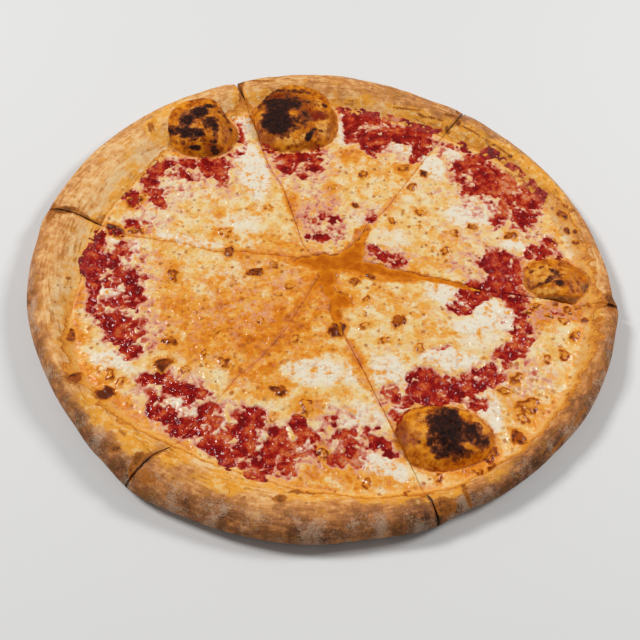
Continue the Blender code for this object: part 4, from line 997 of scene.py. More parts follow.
def sheet_piece(name, corners, faces, level, underside, masks, material, replaced):
    """Closed sheet between a shaped top and a level underside."""
    faces, rim = without_pinches(faces)
    used = np.unique(faces)
    place = np.full(len(corners), -1)
    place[used] = np.arange(len(used))
    bottom_of = np.full(len(corners), -1)
    edge = np.unique(rim)
    bottom_of[edge] = len(used) + np.arange(len(edge))
    top = np.column_stack([corners[used], level[used]])
    bottom = np.column_stack([corners[edge], np.full(len(edge), underside)])
    start = rim[:, 0]
    end = rim[:, 1]
    skirt = np.vstack([np.column_stack([place[start], bottom_of[start], bottom_of[end]]),
                       np.column_stack([place[start], bottom_of[end], place[end]])])
    under = bottom_of[filled(corners, rim)][:, ::-1]
    both = np.concatenate([used, edge])
    everything = np.vstack([place[faces], skirt, under])
    masks = {mask: values[both] for mask, values in masks.items()}
    add_piece(name, np.vstack([top, bottom]), everything, masks, material, replaced)


def staggered(spacing, low, high):
    """Staggered points over a box."""
    step = spacing * math.sqrt(0.75)
    rows = np.arange(low[1], high[1], step)
    across = np.arange(low[0], high[0], spacing)
    x, y = np.meshgrid(across, rows)
    x = x + 0.5 * spacing * (np.arange(len(rows)) % 2)[:, None]
    return np.column_stack([x.ravel(), y.ravel()])


def topping_region(number, spacing, reach_out):
    """Outline and inner points of a slice's toppings, which reach out onto the rim."""
    right, left = slice_edges(number, "topping")
    tip = tip_point(right, left, TOPPING_TIPS[number - 1])

    def outer(azimuth):
        return np.minimum(well(azimuth) + reach_out, widest(azimuth) - 5.0)

    start = TOPPING_TIPS[number - 1] + 4.0
    arc = arc_points(right, left, outer, OUTLINE_SPACING)
    sides = [edge.at(np.arange(start, edge.crossing(outer) - 0.5, OUTLINE_SPACING))
             for edge in (right, left)]
    outline = np.vstack([[tip], sides[0], arc, sides[1][::-1]])
    points = staggered(spacing, outline.min(axis=0), outline.max(axis=0))
    inside = np.hypot(*points.T) < outer(azimuth_of(*points.T)) - 0.35
    points = points[(pressed(*points.T, (right, left)) > 0.75) & inside]
    lines = []
    for offset in BESIDE_CUTS:
        for edge in (right, left):
            path = edge.at(np.arange(start, edge.crossing(outer) - 0.6, BESIDE_SPACING))
            lines.append(path + edge.turn * offset * left_of(path))
    beside = np.vstack(lines)
    beside = beside[pressed(*beside.T, (right, left)) > 0.1]
    return outline, points, beside, (right, left), outer


def inside_region(corners, faces, edges, outer):
    """Triangles whose middle lies in the slice."""
    x, y = corners[faces].mean(axis=1).T
    return faces[(pressed(x, y, edges) > 0.0) & (np.hypot(x, y) < outer(azimuth_of(x, y)))]


def add_cheese(number, material):
    """Sheet of melted cheese, open where it thins out."""
    outline, points, beside, edges, outer = topping_region(number, CHEESE_SPACING, CHEESE_BEYOND_RIM)
    everything = np.vstack([outline, beside, points])
    corners, faces, _ = net(everything, ring_edges(0, len(outline)))
    faces = inside_region(corners, faces, edges, outer)
    fields = cheese_fields(number, *corners.T, edges)
    level = cheese_level(*corners.T, fields)
    faces = faces[(fields["thick"][faces] > CHEESE_LEAST).any(axis=1)]
    masks = {name: fields[name] for name in ("thick", "white", "orange", "brown", "over", "edge")}
    sheet_piece("cheese_look_%d" % number, corners, faces, level, CHEESE_UNDERSIDE, masks,
                material, "cheese_%d" % number)


def add_sauce(number, material):
    """Sheet of sauce, fine where it shows and coarse under the cheese."""
    outline, points, beside, edges, outer = topping_region(number, SAUCE_SPACING, SAUCE_BEYOND_RIM)
    thick = cheese_fields(number, *points.T, edges)["thick"]
    near_bubble = np.abs(bubble_depth(number, *points.T)) < SAUCE_NEAR
    shows = (thick < SAUCE_SHOWS) | near_bubble | (outside_rim(*points.T) > -SAUCE_NEAR)
    sparse = staggered(SPARSE_SPACING, outline.min(axis=0), outline.max(axis=0))
    keep = pressed(*sparse.T, edges) > 1.0
    keep &= np.hypot(*sparse.T) < outer(azimuth_of(*sparse.T)) - 1.0
    everything = np.vstack([outline, beside, points[shows], sparse[keep] + OFF_GRID])
    corners, faces, _ = net(everything, ring_edges(0, len(outline)))
    faces = inside_region(corners, faces, edges, outer)
    fields = sauce_fields(number, *corners.T, edges)
    level = sauce_level(*corners.T, fields)
    faces = faces[(fields["cover"][faces] > SAUCE_LEAST).any(axis=1)]
    masks = {name: fields[name] for name in ("pulp", "over")}
    sheet_piece("sauce_look_%d" % number, corners, faces, level, SAUCE_UNDERSIDE, masks,
                material, "sauce_%d" % number)


def even_stations(steps_out, steps_up, share, spacing):
    """Shares that are evenly spaced along a profile."""
    length = np.concatenate([[0.0], np.cumsum(np.hypot(steps_out, steps_up))])
    count = int(length[-1] / spacing)
    return np.interp(np.arange(count) / count * length[-1], length, share)


def ring_stations(spacing):
    """Places across the rim, 0 to 2, that are evenly spaced along its profile."""
    share = np.linspace(0.0, 2.0, 400)
    run = np.where(share < 1.0, 13.0 * share, 13.0 + 10.5 * (share - 1.0))
    rise = np.where(share < 1.0, 8.0 * slope_up(share), 7.5 * slope_down(share))
    return even_stations(np.diff(run), np.diff(rise), share, spacing)[1:]


def rim_points(number, edges):
    """Staggered points over a slice's rim, outside its bubbles."""
    arc = arc_points(*edges, widest, RIM_SPACING)
    azimuth = np.unwrap(np.radians(azimuth_of(*arc.T)))
    step = azimuth[2] - azimuth[1]
    rows = []
    for row, share in enumerate(ring_stations(RIM_SPACING)):
        turned = azimuth[1:-1] + 0.5 * step * (row % 2)
        inner = well(np.degrees(turned)) + WELL_WALL
        outer = widest(np.degrees(turned))
        crest = inner + CREST_PLACE * (outer - inner)
        if share < 1:
            radius = inner + share * (crest - inner)
        else:
            radius = crest + (share - 1) * (outer - crest)
        rows.append(polar(radius, turned))
    every_second = azimuth[1:-1:2]
    rows.append(polar(well(np.degrees(every_second)), every_second))
    points = np.vstack(rows)
    keep = pressed(*points.T, edges) > DOUGH_MARGIN
    keep &= bubble_depth(number, *points.T) < -0.6
    return points[keep]


def bubble_points(number, edges):
    """Rings of points over the bubbles of a slice."""
    rows = [np.zeros((0, 2))]
    for of_slice, blob, apex in BUBBLES:
        if of_slice != number:
            continue
        share = np.linspace(1.0, 0.0, 300)
        rise = (apex - LEDGE) * dome(share)
        size = 0.5 * (blob[2] + blob[3])
        stations = even_stations(np.diff(share) * size, np.diff(rise), share, BUBBLE_SPACING)
        for row, part in enumerate([1.0 + 0.4 / size] + list(stations)):
            around_it = max(6, int(2 * math.pi * size * part / BUBBLE_SPACING))
            angle = 2 * math.pi * (np.arange(around_it) + 0.5 * (row % 2)) / around_it
            rows.append(np.array(blob[:2]) + polar(blob_radius(blob, angle) * part, angle))
    points = np.vstack(rows)
    keep = pressed(*points.T, edges) > DOUGH_MARGIN
    keep &= rim_share(*points.T) < 1.97
    return points[keep]


def crust_outline(edges):
    """Outline of a dough wedge: tip, right cut, widest line, left cut, and their lengths."""
    arc = arc_points(*edges, widest, RIM_SPACING)
    sides = []
    for edge in edges:
        end = edge.crossing(widest)
        ring = edge.crossing(well)
        coarse = np.arange(6.0, ring - 3.0, CUT_COARSE)
        fine = np.arange(ring - 2.0, end - DOUGH_MARGIN, CUT_FINE)
        sides.append(edge.at(np.concatenate([coarse, fine])))
    tip = tip_point(*edges, 1.2)
    return np.vstack([[tip], sides[0], arc, sides[1][::-1]]), len(sides[0]), len(arc)


def crust_points(number, edges, outline):
    """All points of a wedge's upper side, its outline first."""
    sparse = staggered(DOUGH_SPACING, outline.min(axis=0), outline.max(axis=0))
    keep = (pressed(*sparse.T, edges) > 2.0) & (outside_rim(*sparse.T) < -2.0)
    keep &= bubble_depth(number, *sparse.T) < -2.0
    return np.vstack([outline, rim_points(number, edges), bubble_points(number, edges), sparse[keep]])


def add_crust(number, material):
    """Dough wedge with its rim, bubbles, rounded foot, cut faces and underside."""
    edges = slice_edges(number, "dough")
    outline, count_right, count_arc = crust_outline(edges)
    points = crust_points(number, edges, outline)
    corners, faces, sources = net(points, ring_edges(0, len(outline)))
    faces, _ = without_pinches(faces[enclosed(corners[faces].mean(axis=1), outline)])

    place = {index: corner for corner, source in enumerate(sources) for index in source}
    chain_right = [place[i] for i in range(0, count_right + 2)]
    arc_chain = [place[i] for i in range(count_right + 1, count_right + 1 + count_arc)]
    going_in = range(len(outline) - 1, count_right + count_arc - 1, -1)
    chain_left = [place[0]] + [place[i] for i in going_in]

    level = pinched(dough_level(number, *corners.T), pressed(*corners.T, edges))
    level[arc_chain] = WIDEST_LEVEL
    columns, lower = foot_columns(corners, arc_chain, edges)
    tip_below = len(corners) + len(lower)
    known = np.vstack([np.column_stack([corners, level]), lower, [[*corners[place[0]], 0.0]]])
    parts = [faces, foot_faces(arc_chain, columns)]
    unders = []
    for chain, column in ((chain_right, columns[0]), (chain_left, columns[-1])):
        new_vertices, new_faces, under = cut_face(known, chain, column, tip_below)
        known = np.vstack([known, new_vertices])
        parts.append(new_faces)
        unders.append(under)
    loop = unders[0] + [column[-1] for column in columns] + unders[1][:0:-1]
    pairs = np.array(list(zip(loop, loop[1:] + loop[:1])))
    parts.append(filled(known[:, :2], pairs)[:, ::-1])
    masks = crust_fields(number, known, edges, len(corners))
    add_piece("crust_look_%d" % number, known, np.vstack(parts), masks,
              material, "crust_%d" % number)


def foot_columns(corners, arc_chain, edges):
    """Columns of points from the widest line down and in to the underside."""
    place = corners[arc_chain]
    inward = -place / np.linalg.norm(place, axis=1)[:, None]
    for end, edge in ((0, edges[0]), (-1, edges[1])):
        distance = edge.crossing(widest)
        aim = edge.at(distance - UNDERCUT) - edge.at(distance)
        aim /= np.linalg.norm(aim)
        near = np.clip(1.0 - np.linalg.norm(place - place[end], axis=1) / 14.0, 0.0, 1.0)[:, None]
        inward = (1.0 - near) * inward + near * aim
    rows = []
    for angle in FOOT_ANGLES:
        shift = UNDERCUT * (1.0 - math.cos(angle))
        flat = place + inward * shift
        level = np.full(len(place), max(0.0, WIDEST_LEVEL * (1.0 - math.sin(angle))))
        dent = 0.35 * np.abs(rough(place[:, 0] + 3 * angle, place[:, 1] - 5 * angle, 7.0, 401, 3))
        dent = dent * math.sin(2 * angle)
        dent[[0, -1]] = 0.0
        rows.append(np.column_stack([flat + inward * dent[:, None], level]))
    lower = np.stack(rows, axis=1).reshape(-1, 3)
    index = len(corners) + np.arange(len(lower))
    return index.reshape(len(arc_chain), len(FOOT_ANGLES)).tolist(), lower


def foot_faces(arc_chain, columns):
    """Triangles between the columns, from the widest line down."""
    grid = np.column_stack([np.array(arc_chain), np.array(columns)])
    a = grid[:-1, :-1].ravel()
    b = grid[:-1, 1:].ravel()
    c = grid[1:, 1:].ravel()
    d = grid[1:, :-1].ravel()
    return np.vstack([np.column_stack([a, b, c]), np.column_stack([a, c, d])])


def cut_face(known, chain, column, tip_below):
    """Face along a cut, from the tip to the rim, and its lower corners."""
    flat = known[chain, :2]
    along = run_along(flat)
    end = along[-1]
    upper = np.column_stack([along, known[chain, 2]])
    foot_along = end - np.linalg.norm(known[column][:, :2] - flat[-1], axis=1)
    foot = np.column_stack([foot_along, known[column][:, 2]])
    last = foot_along[-1]
    floor_along = np.concatenate([np.arange(4.0, end - FACE_RIM - 1.0, FACE_FLOOR[0]),
                                  np.arange(end - FACE_RIM, last - 0.8, FACE_FLOOR[1])])[::-1]
    grid = np.meshgrid(np.arange(end - 36.0, end - 1.0, FACE_STEPS[0]),
                       np.arange(1.0, 19.0, FACE_STEPS[1]))
    inner_along, inner_level = (values.ravel() for values in grid)
    roof = np.interp(inner_along, along, upper[:, 1])
    skirt = np.interp(inner_along, foot[::-1, 0], foot[::-1, 1])
    inside = inner_level < roof - 0.7
    inside &= inner_level > np.where(inner_along > last, skirt, 0.0) + 0.6
    interior = np.column_stack([inner_along[inside], inner_level[inside]])
    floor_line = np.column_stack([floor_along, 0 * floor_along])
    outline = np.vstack([upper, foot, floor_line, [[0.0, 0.0]]])
    floor_index = list(range(len(known), len(known) + len(floor_along)))
    inner_index = [len(known) + len(floor_along) + i for i in range(len(interior))]
    index = list(chain) + list(column) + floor_index + [tip_below] + inner_index
    result = delaunay(np.vstack([outline, interior]), ring_edges(0, len(outline)), 1, 1e-6)
    faces = np.array([[index[result[3][corner][0]] for corner in face] for face in result[2]])
    new_along, level = np.vstack([floor_line, interior]).T
    plan = [np.interp(new_along, along, flat[:, axis]) for axis in (0, 1)]
    return np.column_stack([*plan, level]), faces, [tip_below] + floor_index[::-1]


def crust_fields(number, vertices, edges, count):
    """Masks of the dough: baking with painted light and shade, burning, flour, oil and the bubbles'
    colours.
    """
    x, y, z = vertices.T
    show_x, show_y = seen(x, y, z)
    warp_x, warp_y = warped(show_x, show_y, 0.8, 121)
    azimuth = azimuth_of(x, y)
    share = np.where(np.arange(len(x)) >= count, 2.0, rim_share(x, y))
    inner = around(BAKE_AND_SHADE_INNER, azimuth)
    crest = around(BAKE_AND_SHADE_CREST, azimuth)
    outer = around(BAKE_AND_SHADE_OUTER, azimuth)
    # Baking with painted light and shade, eased across the rim from the rings above.
    bake_and_shade = inner + (crest - inner) * eased(share, 0.1, 0.9) + (outer - crest) * eased(share, 0.9, 1.8)
    bake_and_shade = bake_and_shade + 0.13 * rough(x, y, 14.0, 501, 3) + 0.06 * rough(x, y + z, 3.6, 505, 2)
    cut = pressed(x, y, edges)
    bake_and_shade = bake_and_shade + 0.25 * np.exp(-(np.maximum(cut, 0.0) / 0.9) ** 2) * eased(share, -0.1, 0.3)
    depth = bubble_depth(number, x, y)
    bubble = eased(depth, -0.4, 0.4)
    char = np.zeros(len(x))
    if number in CHARS:
        char = charred(number, show_x, show_y) * bubble
    close_x, close_y = warped(show_x, show_y, 0.3, 131)
    burn = patches(close_x, close_y, RIM_BURNS)
    burn = burn + 0.3 * swell(x, y, 1.8, 135) * (burn > 0.05)
    flecks, own = scattered(x, y, 6.0, 137)
    burn = np.maximum(burn, 0.7 * (own > 0.8) * (1 - eased(flecks, 0.03, 0.12)) * (share < 1.9))
    golden = patches(warp_x, warp_y, GOLDEN_RIM) + 0.36 * rough(x, y, 6.5, 551, 3)
    golden = golden + 0.9 * np.exp(-np.clip(outside_rim(x, y), 0.0, None) / 3.0)
    golden = np.clip(golden, 0, 1.2) * (share < 1.7) * (1 - 0.9 * eased(bake_and_shade, 0.52, 0.76))
    flour = eased(share, 0.7, 1.6) * (0.35 + 0.6 * rough(x, y, 9.0, 541, 3))
    flour = flour * eased(bake_and_shade, 0.38, 0.56)
    # Darker towards the floor on the foot, the cut faces and the underside.
    low = eased(4.0 - z, 0.0, 4.0) * (share >= 1.99)
    return {"bake_and_shade": np.clip(bake_and_shade + 0.2 * low, 0, 1), "char": char, "burn": np.clip(burn, 0, 1),
            "flour": np.clip(flour, 0, 1), "golden": golden,
            "red": patches(warp_x, warp_y, BUBBLE_RED) * bubble,
            "pale": patches(warp_x, warp_y, BUBBLE_PALE) * bubble, "bubble": bubble}


def add_oil(material):
    """Pool of oil at the hub, with arms along the three widest cuts."""
    points = staggered(OIL_SPACING, (-20.0, -50.0), (86.0, 34.0))
    points = points[flooded(*points.T) > 0.02]
    corners, faces, _ = net(points, [])
    x, y = corners.T
    deep = flooded(x, y)
    faces = faces[(longest_side(corners, faces) < 1.6) & (deep[faces] > 0.1).all(axis=1)]
    level = OIL_LEVEL + 0.08 * rough(x, y, 5.0, 601, 2) + 0.05 * swell(x, y, 1.6, 604)
    sheet_piece("oil_look", corners, faces, level, SAUCE_UNDERSIDE,
                {"deep": np.clip(deep, 0, 1.5)}, material, "oil_pool")


def longest_side(corners, faces):
    """Longest side of each triangle."""
    ends = corners[faces]
    return np.linalg.norm(ends - np.roll(ends, 1, axis=1), axis=2).max(axis=1)


# ---------------------------------------------------------------- materials
class Looks:
    """Node material under construction."""

    def __init__(self, name, roughness, specular=0.5):
        self.material = bpy.data.materials.new(name)
        self.material.use_nodes = True
        self.tree = self.material.node_tree
        self.shader = self.tree.nodes["Principled BSDF"]
        self.shader.inputs["Roughness"].default_value = roughness
        self.shader.inputs["Specular IOR Level"].default_value = specular
        self.place = self.tree.nodes.new("ShaderNodeTexCoord").outputs["Object"]

    def put(self, socket, value):
        """Link a node's output to a socket, or set the socket's value."""
        if isinstance(value, bpy.types.NodeSocket):
            self.tree.links.new(value, socket)
        else:
            socket.default_value = value

    def mask(self, name):
        node = self.tree.nodes.new("ShaderNodeAttribute")
        node.attribute_name = name
        return node.outputs["Fac"]

    def noise(self, place, scale, detail, roughness):
        """Noise with its middle values spread to about 0 to 1."""
        node = self.tree.nodes.new("ShaderNodeTexNoise")
        node.inputs["Scale"].default_value = scale
        node.inputs["Detail"].default_value = detail
        node.inputs["Roughness"].default_value = roughness
        self.put(node.inputs["Vector"], place)
        return self.math("MULTIPLY_ADD", node.outputs["Fac"], 2.2, -0.6)

    def grain(self, size, detail=3.0, roughness=0.55):
        return self.noise(self.place, 1.0 / (size * MM), detail, roughness)

    def drawn_grain(self, along, across):
        """Grain drawn out round the rim: long along it, narrow across it."""
        split = self.tree.nodes.new("ShaderNodeSeparateXYZ")
        self.put(split.inputs[0], self.place)
        flat_x = self.math("MULTIPLY", split.outputs["X"], 1.0 / (along * MM))
        flat_y = self.math("MULTIPLY", split.outputs["Y"], 1.0 / (along * MM))
        reach = self.math("SQRT", self.math("ADD", self.math("MULTIPLY", flat_x, flat_x),
                                            self.math("MULTIPLY", flat_y, flat_y)))
        joined = self.tree.nodes.new("ShaderNodeCombineXYZ")
        self.put(joined.inputs[0], flat_x)
        self.put(joined.inputs[1], flat_y)
        self.put(joined.inputs[2], self.math("MULTIPLY", reach, along / across))
        return self.noise(joined.outputs[0], 1.0, 3.0, 0.5)

    def cells(self, size):
        """Distance to scattered centres in cell sizes, and a value of each centre's own."""
        node = self.tree.nodes.new("ShaderNodeTexVoronoi")
        node.inputs["Scale"].default_value = 1.0 / (size * MM)
        self.put(node.inputs["Vector"], self.place)
        split = self.tree.nodes.new("ShaderNodeSeparateColor")
        self.put(split.inputs["Color"], node.outputs["Color"])
        return node.outputs["Distance"], split.outputs["Red"]

    def math(self, operation, first, second=0.0, third=0.0):
        node = self.tree.nodes.new("ShaderNodeMath")
        node.operation = operation
        for socket, value in zip(node.inputs, (first, second, third)):
            self.put(socket, value)
        return node.outputs[0]

    def span(self, value, low, high, start=0.0, end=1.0):
        """Smooth step of a value between two limits."""
        node = self.tree.nodes.new("ShaderNodeMapRange")
        node.interpolation_type = "SMOOTHSTEP"
        for socket, part in zip(node.inputs, (value, low, high, start, end)):
            self.put(socket, part)
        return node.outputs["Result"]

    def ramp(self, value, stops):
        node = self.tree.nodes.new("ShaderNodeValToRGB")
        self.put(node.inputs["Fac"], value)
        ramp = node.color_ramp
        while len(ramp.elements) < len(stops):
            ramp.elements.new(0.5)
        for element, (position, colour) in zip(ramp.elements, stops):
            element.position = position
            element.color = colour + (1.0,)
        return node.outputs["Color"]

    def mix(self, share, first, second):
        node = self.tree.nodes.new("ShaderNodeMix")
        node.data_type = "RGBA"
        self.put(node.inputs[0], share)
        for socket, value in ((node.inputs[6], first), (node.inputs[7], second)):
            self.put(socket, value + (1.0,) if isinstance(value, tuple) else value)
        return node.outputs[2]

    def uneven(self, value, grain, amount, shift=None):
        """A value with grain added, evenly up and down if no shift is given."""
        shift = -0.5 * amount if shift is None else shift
        return self.math("ADD", value, self.math("MULTIPLY_ADD", grain, amount, shift))

    def frayed(self, value, grain, amount):
        """A value with grain added evenly up and down, only where it isn't nearly 0."""
        change = self.math("MULTIPLY_ADD", grain, amount, -0.5 * amount)
        return self.math("MULTIPLY_ADD", change, self.span(value, 0.0, 0.3), value)

    def tinted(self, colour, value, *steps):
        """Colour covered by one tint after another where a value rises.

        Each step is low, high, tint and, where the tint never covers fully, its most.
        """
        for low, high, tint, *most in steps:
            colour = self.mix(self.span(value, low, high, 0.0, *most), colour, tint)
        return colour

    def bump(self, height, distance):
        node = self.tree.nodes.new("ShaderNodeBump")
        node.inputs["Strength"].default_value = 1.0
        node.inputs["Distance"].default_value = distance * MM
        self.put(node.inputs["Height"], height)
        return node.outputs["Normal"]

    def finish(self, colour, normal=None, roughness=None):
        self.put(self.shader.inputs["Base Color"], colour)
        if normal is not None:
            self.put(self.shader.inputs["Normal"], normal)
        if roughness is not None:
            self.put(self.shader.inputs["Roughness"], roughness)
        return self.material


def cheese_material():
    """Melted cheese: cream, white or oily, rosy where it is thin, with browned blisters."""
    looks = Looks("cheese_look", 0.3, 0.3)
    fine = looks.grain(1.2)
    thick = looks.uneven(looks.mask("thick"), fine, 0.5)
    cream = looks.ramp(looks.grain(6.0, 5.0, 0.6), [
        (0.2, (0.83, 0.44, 0.09)), (0.45, (0.86, 0.58, 0.22)), (0.7, (0.86, 0.69, 0.39))])
    cream = looks.tinted(cream, looks.grain(5.0, 4.0, 0.6), (0.62, 0.95, (0.78, 0.42, 0.27), 0.55))
    colour = looks.tinted(cream, looks.mask("white"), (0.15, 0.8, (0.84, 0.76, 0.60)))
    patchy = looks.math("MULTIPLY_ADD", looks.grain(4.6, 5.0, 0.62), 1.5, -0.74)
    patchy = looks.math("MULTIPLY_ADD", looks.grain(2.0, 3.0), 0.7,
                        looks.math("SUBTRACT", patchy, 0.35))
    orange = looks.math("ADD", looks.mask("orange"), patchy)
    colour = looks.tinted(colour, orange, (0.0, 0.65, (0.84, 0.36, 0.045)),
                          (0.6, 1.15, (0.74, 0.22, 0.008)), (1.15, 1.8, (0.50, 0.105, 0.002)))
    blush = looks.math("MULTIPLY", looks.span(looks.grain(7.0, 4.0, 0.6), 0.52, 0.85, 0.0, 0.45),
                       looks.span(looks.mask("orange"), 0.1, 0.5))
    colour = looks.mix(blush, colour, (0.76, 0.33, 0.17))
    thin = looks.ramp(thick, [
        (0.0, (0.40, 0.020, 0.010)), (0.22, (0.52, 0.085, 0.04)), (0.55, (0.69, 0.29, 0.21)),
        (1.0, (0.81, 0.60, 0.48))])
    rim_film = looks.ramp(thick, [
        (0.0, (0.54, 0.16, 0.012)), (0.4, (0.87, 0.38, 0.045)), (0.9, (0.90, 0.60, 0.22))])
    thin = looks.mix(looks.mask("over"), thin, rim_film)
    colour = looks.mix(looks.span(thick, 0.4, 1.1), thin, colour)
    near, own = looks.cells(3.2)
    speck = looks.math("SUBTRACT", looks.math("MULTIPLY_ADD", own, 0.48, -0.1),
                       looks.math("MULTIPLY_ADD", fine, 0.3, near))
    calm = looks.math("MULTIPLY", looks.span(looks.mask("white"), 0.5, 0.0, 0.3, 0.9),
                      looks.span(looks.grain(9.0, 2.0), 0.25, 0.6, 0.35, 1.0))
    speck = looks.math("MULTIPLY", looks.span(speck, -0.3, -0.02), calm)
    colour = looks.mix(speck, colour, (0.45, 0.12, 0.012))
    colour = looks.tinted(colour, looks.uneven(looks.mask("brown"), fine, 0.4),
                          (0.02, 0.42, (0.79, 0.29, 0.018), 0.95),
                          (0.34, 0.74, (0.38, 0.075, 0.003)), (0.76, 1.2, (0.12, 0.018, 0.001)))
    height = looks.math("MULTIPLY_ADD", looks.grain(3.2, 1.0), 0.8,
                        looks.math("MULTIPLY", looks.grain(1.8, 1.0), 0.4))
    roughness = looks.span(looks.grain(2.0), 0.2, 0.8, 0.14, 0.34)
    roughness = looks.math("MULTIPLY_ADD", looks.mask("over"), 0.3, roughness)
    roughness = looks.math("MULTIPLY_ADD", looks.mask("edge"), 0.45, roughness)
    return looks.finish(colour, looks.bump(height, 0.26), roughness)


def sauce_material():
    """Wet tomato sauce: dark red, with paler orange pulp."""
    looks = Looks("sauce_look", 0.1, 0.35)
    colour = looks.ramp(looks.uneven(looks.mask("pulp"), looks.grain(0.9), 0.4), [
        (0.08, (0.17, 0.001, 0.001)), (0.34, (0.31, 0.003, 0.002)),
        (0.56, (0.48, 0.035, 0.010)), (0.8, (0.62, 0.13, 0.025)), (1.0, (0.68, 0.26, 0.14))])
    height = looks.math("MULTIPLY_ADD", looks.grain(3.0, 1.0), 0.8,
                        looks.math("MULTIPLY", looks.grain(1.6, 1.0), 0.5))
    roughness = looks.math("MULTIPLY_ADD", looks.mask("over"), 0.5, 0.1)
    return looks.finish(colour, looks.bump(height, 0.5), roughness)


def oil_material():
    """Orange oil, darker where it is deep."""
    looks = Looks("oil_look", 0.1, 0.25)
    deep = looks.math("MULTIPLY_ADD", looks.grain(4.0, 4.0), 0.9, looks.mask("deep"))
    colour = looks.ramp(looks.math("MULTIPLY_ADD", deep, 0.55, -0.2), [
        (0.1, (0.80, 0.34, 0.025)), (0.45, (0.70, 0.205, 0.005)), (0.9, (0.48, 0.10, 0.001))])
    return looks.finish(colour, looks.bump(looks.grain(2.0, 2.0), 0.12))


def crust_material():
    """Baked dough: pale to dark, partly from painted light and shade, with flour, golden places,
    painted cream highlights, pores darkened with painted shade, oily bubbles, burns and char.
    """
    looks = Looks("crust_look", 0.75, 0.15)
    fine = looks.grain(0.9, 4.0)
    middling = looks.grain(4.0, 5.0, 0.6)
    drawn = looks.drawn_grain(9.0, 1.3)
    # The baking mask holds painted light and shade too.
    bake_and_shade = looks.uneven(looks.mask("bake_and_shade"), fine, 0.14)
    bake_and_shade = looks.uneven(bake_and_shade, middling, 0.42)
    bake_and_shade = looks.uneven(bake_and_shade, drawn, 0.28)
    colour = looks.ramp(bake_and_shade, [
        (0.05, (0.86, 0.585, 0.29)), (0.26, (0.80, 0.43, 0.155)), (0.46, (0.59, 0.235, 0.066)),
        (0.66, (0.34, 0.12, 0.038)), (0.86, (0.13, 0.045, 0.018)), (1.0, (0.045, 0.018, 0.010))])
    flour = looks.uneven(looks.mask("flour"), looks.grain(0.8, 4.0, 0.7), 1.2)
    colour = looks.tinted(colour, flour, (0.2, 0.9, (0.60, 0.42, 0.29), 0.6))
    golden = looks.uneven(looks.mask("golden"), middling, 0.7)
    golden = looks.uneven(golden, drawn, 0.5)
    colour = looks.tinted(colour, golden, (0.0, 0.9, (0.86, 0.37, 0.030), 0.85),
                          (0.8, 1.7, (0.54, 0.15, 0.010), 0.8))
    # Painted highlights: cream patches where the golden places are strongest, standing in for the
    # light's shine on the rim.
    light = looks.math("ADD", looks.grain(5.0, 4.0, 0.6), looks.mask("golden"))
    light = looks.math("MULTIPLY", looks.span(light, 0.75, 1.25, 0.0, 0.6),
                       looks.span(looks.grain(3.0, 3.0), 0.5, 0.8))
    colour = looks.mix(light, colour, (0.88, 0.62, 0.27))
    line = looks.math("MULTIPLY", looks.span(drawn, 0.66, 0.82, 0.0, 0.6),
                      looks.span(looks.grain(8.0, 2.0), 0.4, 0.7))
    colour = looks.mix(line, colour, (0.36, 0.13, 0.03))
    # Pores: small dark brown dots, painted shade standing in for tiny holes in the crust.
    pore, own = looks.cells(4.5)
    pore = looks.math("SUBTRACT", looks.math("MULTIPLY_ADD", own, 0.35, -0.17), pore)
    colour = looks.tinted(colour, pore, (-0.06, 0.04, (0.32, 0.10, 0.02), 0.7))
    skin = looks.ramp(middling, [
        (0.1, (0.22, 0.030, 0.001)), (0.34, (0.45, 0.10, 0.002)),
        (0.56, (0.68, 0.21, 0.005)), (0.85, (0.86, 0.33, 0.018))])
    pale = looks.uneven(looks.mask("pale"), looks.grain(2.4, 4.0, 0.6), 1.4, -0.8)
    skin = looks.tinted(skin, pale, (0.25, 1.15, (0.89, 0.42, 0.07)))
    red = looks.uneven(looks.mask("red"), middling, 1.0, -0.6)
    skin = looks.tinted(skin, red, (0.2, 1.0, (0.22, 0.015, 0.001)))
    colour = looks.mix(looks.mask("bubble"), colour, skin)
    burn = looks.frayed(looks.mask("burn"), fine, 0.5)
    colour = looks.tinted(colour, burn, (0.1, 0.6, (0.42, 0.13, 0.016)),
                          (0.6, 1.3, (0.08, 0.024, 0.01)))
    char = looks.frayed(looks.mask("char"), looks.grain(1.5, 4.0, 0.65), 0.7)
    colour = looks.tinted(colour, char, (0.0, 0.35, (0.25, 0.055, 0.008)),
                          (0.3, 0.75, (0.055, 0.012, 0.004)), (0.7, 1.15, (0.015, 0.006, 0.005)))
    height = looks.math("MULTIPLY_ADD", fine, 0.3, looks.math("MULTIPLY", middling, 0.6))
    height = looks.math("MULTIPLY_ADD", drawn, 0.3, height)
    roughness = looks.span(looks.mask("bubble"), 0.0, 1.0, 0.7, 0.4)
    roughness = looks.math("MULTIPLY_ADD", looks.span(char, 0.2, 0.8), 0.4, roughness)
    return looks.finish(colour, looks.bump(height, 0.34), roughness)


def floor_material():
    return Looks("floor_look", 0.8).finish((0.76, 0.76, 0.755, 1.0))


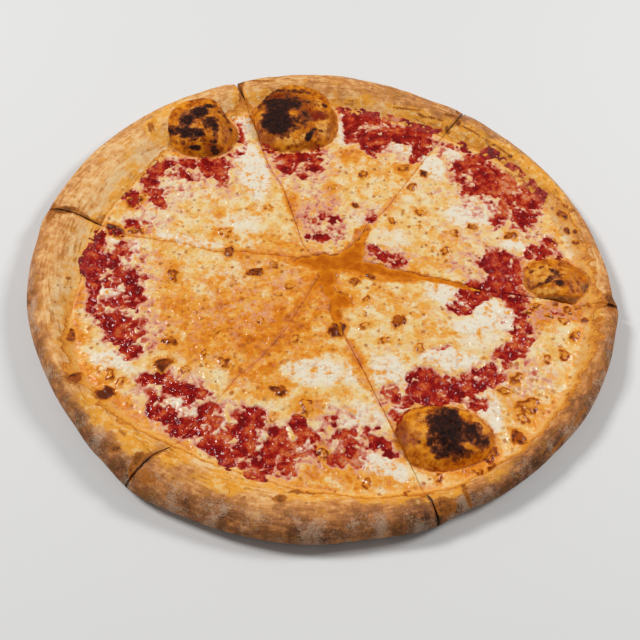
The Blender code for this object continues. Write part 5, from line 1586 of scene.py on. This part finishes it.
# ---------------------------------------------------------------- stage
def add_floor():
    """Plain pale floor, a little below the pizza's underside."""
    half = 6.0
    gap = 0.0005
    square = [(-half, -half, 0), (half, -half, 0), (half, half, 0), (-half, half, 0)]
    mesh = bpy.data.meshes.new("floor")
    mesh.from_pydata(square, [], [(0, 1, 2, 3)])
    mesh.materials.append(floor_material())
    floor = bpy.data.objects.new("floor", mesh)
    floor.location.z = -gap
    bpy.context.scene.collection.objects.link(floor)


def add_camera():
    """Camera at the viewing angle: it looks along +Y, steeply down, slightly rolled."""
    tilt = 0.945752
    roll = 0.048401
    distance = 0.455729
    target = Vector((0.001609, -0.028594, 0.0))
    forward = Vector((0.0, math.cos(tilt), -math.sin(tilt)))
    right = Vector((1.0, 0.0, 0.0))
    up = right.cross(forward)
    rolled_right = right * math.cos(roll) + up * math.sin(roll)
    rolled_up = up * math.cos(roll) - right * math.sin(roll)
    data = bpy.data.cameras.new("camera")
    data.lens = 50.0
    data.sensor_width = 36.0
    camera = bpy.data.objects.new("camera", data)
    spot = target - forward * distance
    turn = Matrix((rolled_right, rolled_up, -forward)).transposed()
    camera.matrix_world = Matrix.Translation(spot) @ turn.to_4x4()
    bpy.context.scene.collection.objects.link(camera)
    bpy.context.scene.camera = camera


def add_light(name, place, size, power):
    """Square area light that faces the pizza."""
    data = bpy.data.lights.new(name, "AREA")
    data.shape = "RECTANGLE"
    data.size = data.size_y = size
    data.energy = power
    light = bpy.data.objects.new(name, data)
    light.location = place
    light.rotation_mode = "QUATERNION"
    light.rotation_quaternion = Vector(place).to_track_quat("Z", "Y")
    bpy.context.scene.collection.objects.link(light)


def add_studio():
    """Dim light from all around and two area lights."""
    world = bpy.data.worlds.new("studio")
    world.use_nodes = True
    background = world.node_tree.nodes["Background"]
    background.inputs["Color"].default_value = (1.0, 0.98, 0.96, 1.0)
    background.inputs["Strength"].default_value = 0.2
    bpy.context.scene.world = world
    add_light("key", (-1.0, 0.30, 1.15), 0.35, 15.0)
    add_light("side", (0.9, 0.25, 0.8), 0.3, 7.5)
    bpy.context.scene.view_settings.view_transform = "Standard"


def main():
    crust = crust_material()
    sauce = sauce_material()
    cheese = cheese_material()
    for number in range(1, len(STROKES) + 1):
        add_crust(number, crust)
        add_sauce(number, sauce)
        add_cheese(number, cheese)
    add_oil(oil_material())
    add_floor()
    add_camera()
    add_studio()


main()
